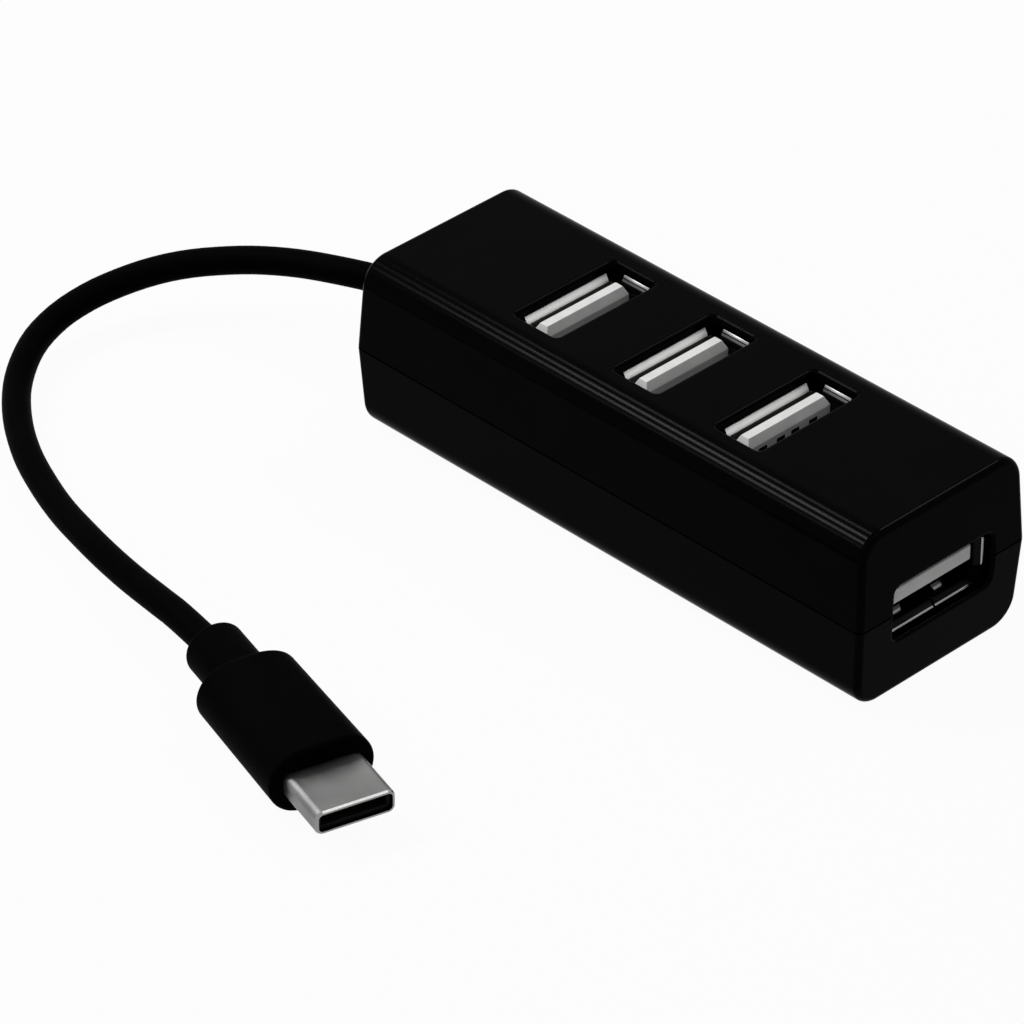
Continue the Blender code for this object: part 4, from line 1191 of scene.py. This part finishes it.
nodeFinish = {
    "circuit_board": "solderMask",
    "plug_paddle_board": "solderMask",
    "hub_chip": "chipMould",
    "crystal_can": "canSteel",
    "bulk_capacitor": "sleeveBlue",
    "resettable_fuse": "fuseYellow",
    "chip_capacitor": "firedCeramic",
    "red_wire": "redJacket",
    "white_wire": "whiteJacket",
    "green_wire": "greenJacket",
    "black_wire": "blackJacket",
    "plug_insulator": "insulatorBlackAndPocketShade",
    "plug_upper_contacts": "shadedGold",
    "plug_lower_contacts": "shadedGold",
    "top_socket": "contactGold",
    "end_socket": "contactGold",
}
for nodeName, node in nodes.items():
    for start, finishName in nodeFinish.items():
        if nodeName.startswith(start):
            node.data.materials.clear()
            node.data.materials.append(finishes[finishName])
print("inner nodes finished")


# Floor and world: plain white to the eye, and a plain level of light on the object

stageSet = {
    "floorSize": 8.0,
    "floorTone": (0.52, 0.52, 0.52, 1.0),
    "whiteShare": 0.955,
    "fillLevel": 0.22,
}


def seenDirectly(tree):
    # 1 for what the eye, a gloss or a glass sees, and 0 for the light that falls on things
    path = addNode(tree, "LightPath")
    seen = (path, "Is Camera Ray")
    for label in ("Is Glossy Ray", "Is Transmission Ray"):
        add = addNode(tree, "Math", operation="ADD", use_clamp=True)
        wire(tree, (*seen, add, 0), (path, label, add, 1))
        seen = (add, "Value")
    return seen


def makeFloor(settings):
    half = settings["floorSize"] / 2
    corners = [(-half, -half, 0.0), (half, -half, 0.0), (half, half, 0.0), (-half, half, 0.0)]
    mesh = bpy.data.meshes.new("paleFloor")
    mesh.from_pydata(corners, [], [(0, 1, 2, 3)])
    floor = addObject("paleFloor", mesh)
    made = bpy.data.materials.new("paleFloor")
    made.use_nodes = True
    tree = made.node_tree
    tree.nodes.remove(tree.nodes["Principled BSDF"])
    matt = addNode(tree, "BsdfDiffuse", {"Color": settings["floorTone"]})
    white = addNode(tree, "Emission")
    share = addNode(tree, "Math", {1: settings["whiteShare"]}, operation="MULTIPLY")
    blend = addNode(tree, "MixShader")
    wire(
        tree,
        (*seenDirectly(tree), share, 0),
        (share, "Value", blend, "Fac"),
        (matt, "BSDF", blend, 1),
        (white, "Emission", blend, 2),
        (blend, "Shader", tree.nodes["Material Output"], "Surface"),
    )
    mesh.materials.append(made)


def makeWorld(settings):
    world = bpy.data.worlds.new("whiteStudio")
    world.use_nodes = True
    tree = world.node_tree
    glow = tree.nodes["Background"]
    glow.inputs["Color"].default_value = (1.0, 1.0, 1.0, 1.0)
    level = addNode(tree, "MapRange", {"To Min": settings["fillLevel"], "To Max": 1.0})
    wire(tree, (*seenDirectly(tree), level, "Value"), (level, "Result", glow, "Strength"))
    scene.world = world


makeFloor(stageSet)
makeWorld(stageSet)


# Lamps: strips that draw the thin lines along the rounded edges

edgeAim = (0.0, -0.0105, 0.0185)  # on the near long edge
lampSet = {
    "distance": 0.8,
    "leanStep": 0.5,
    "strips": (
        # name, where it shows, side and end lean of the surface there, width, thickness, slide, radiance
        ("edgeLineHigh", edgeAim, 20.0, 0.0, 0.105, 0.085, -0.034, 26.0),
        ("edgeLineMiddle", edgeAim, 31.3, 0.0, 0.105, 0.085, -0.034, 76.0),
        ("edgeLineLow", edgeAim, 41.6, 0.0, 0.12, 0.085, -0.031, 62.0),
        ("edgeLineFaint", edgeAim, 49.5, 0.0, 0.12, 0.085, -0.031, 8.0),
        ("rimLight", (0.0105, 0.0, 0.0195), 0.0, 24.0, 0.1, 0.2, 0.0, 20.0),
        ("plugRimLight", (0.0155, -0.0589, 0.0048), 10.8, 33.5, 0.2, 0.2, 0.0, 3.0),
    ),
}


def mirrorWay(aim, sideLean, endLean):
    # the way a surface with that lean sends the eye's ray
    toEye = (camera.location - aim).normalized()
    side, end = math.radians(sideLean), math.radians(endLean)
    normal = Vector((math.sin(end), -math.sin(side) * math.cos(end), math.cos(side) * math.cos(end)))
    return (2 * normal.dot(toEye) * normal - toEye).normalized()


def addStrip(name, aim, sideLean, endLean, width, thickness, slide, radiance):
    aim = Vector(aim)
    away = mirrorWay(aim, sideLean, endLean)
    step = lampSet["leanStep"]
    leaning = (0.0, step) if endLean else (step, 0.0)
    thin = mirrorWay(aim, sideLean + leaning[0], endLean + leaning[1]) - away
    thin = (thin - away * thin.dot(away)).normalized()
    wide = thin.cross(away)
    data = bpy.data.lights.new(name, "AREA")
    data.shape = "RECTANGLE"
    data.size = width
    data.size_y = thickness
    data.energy = radiance * math.pi * width * thickness
    lamp = addObject(name, data)
    place = aim + away * lampSet["distance"] + wide * slide
    turn = Matrix((wide, thin, away)).transposed().to_4x4()
    lamp.matrix_world = Matrix.Translation(place) @ turn


for strip in lampSet["strips"]:
    addStrip(*strip)
print("stage and lamps set")

scene.view_settings.view_transform = "Standard"
bpy.context.view_layer.update()
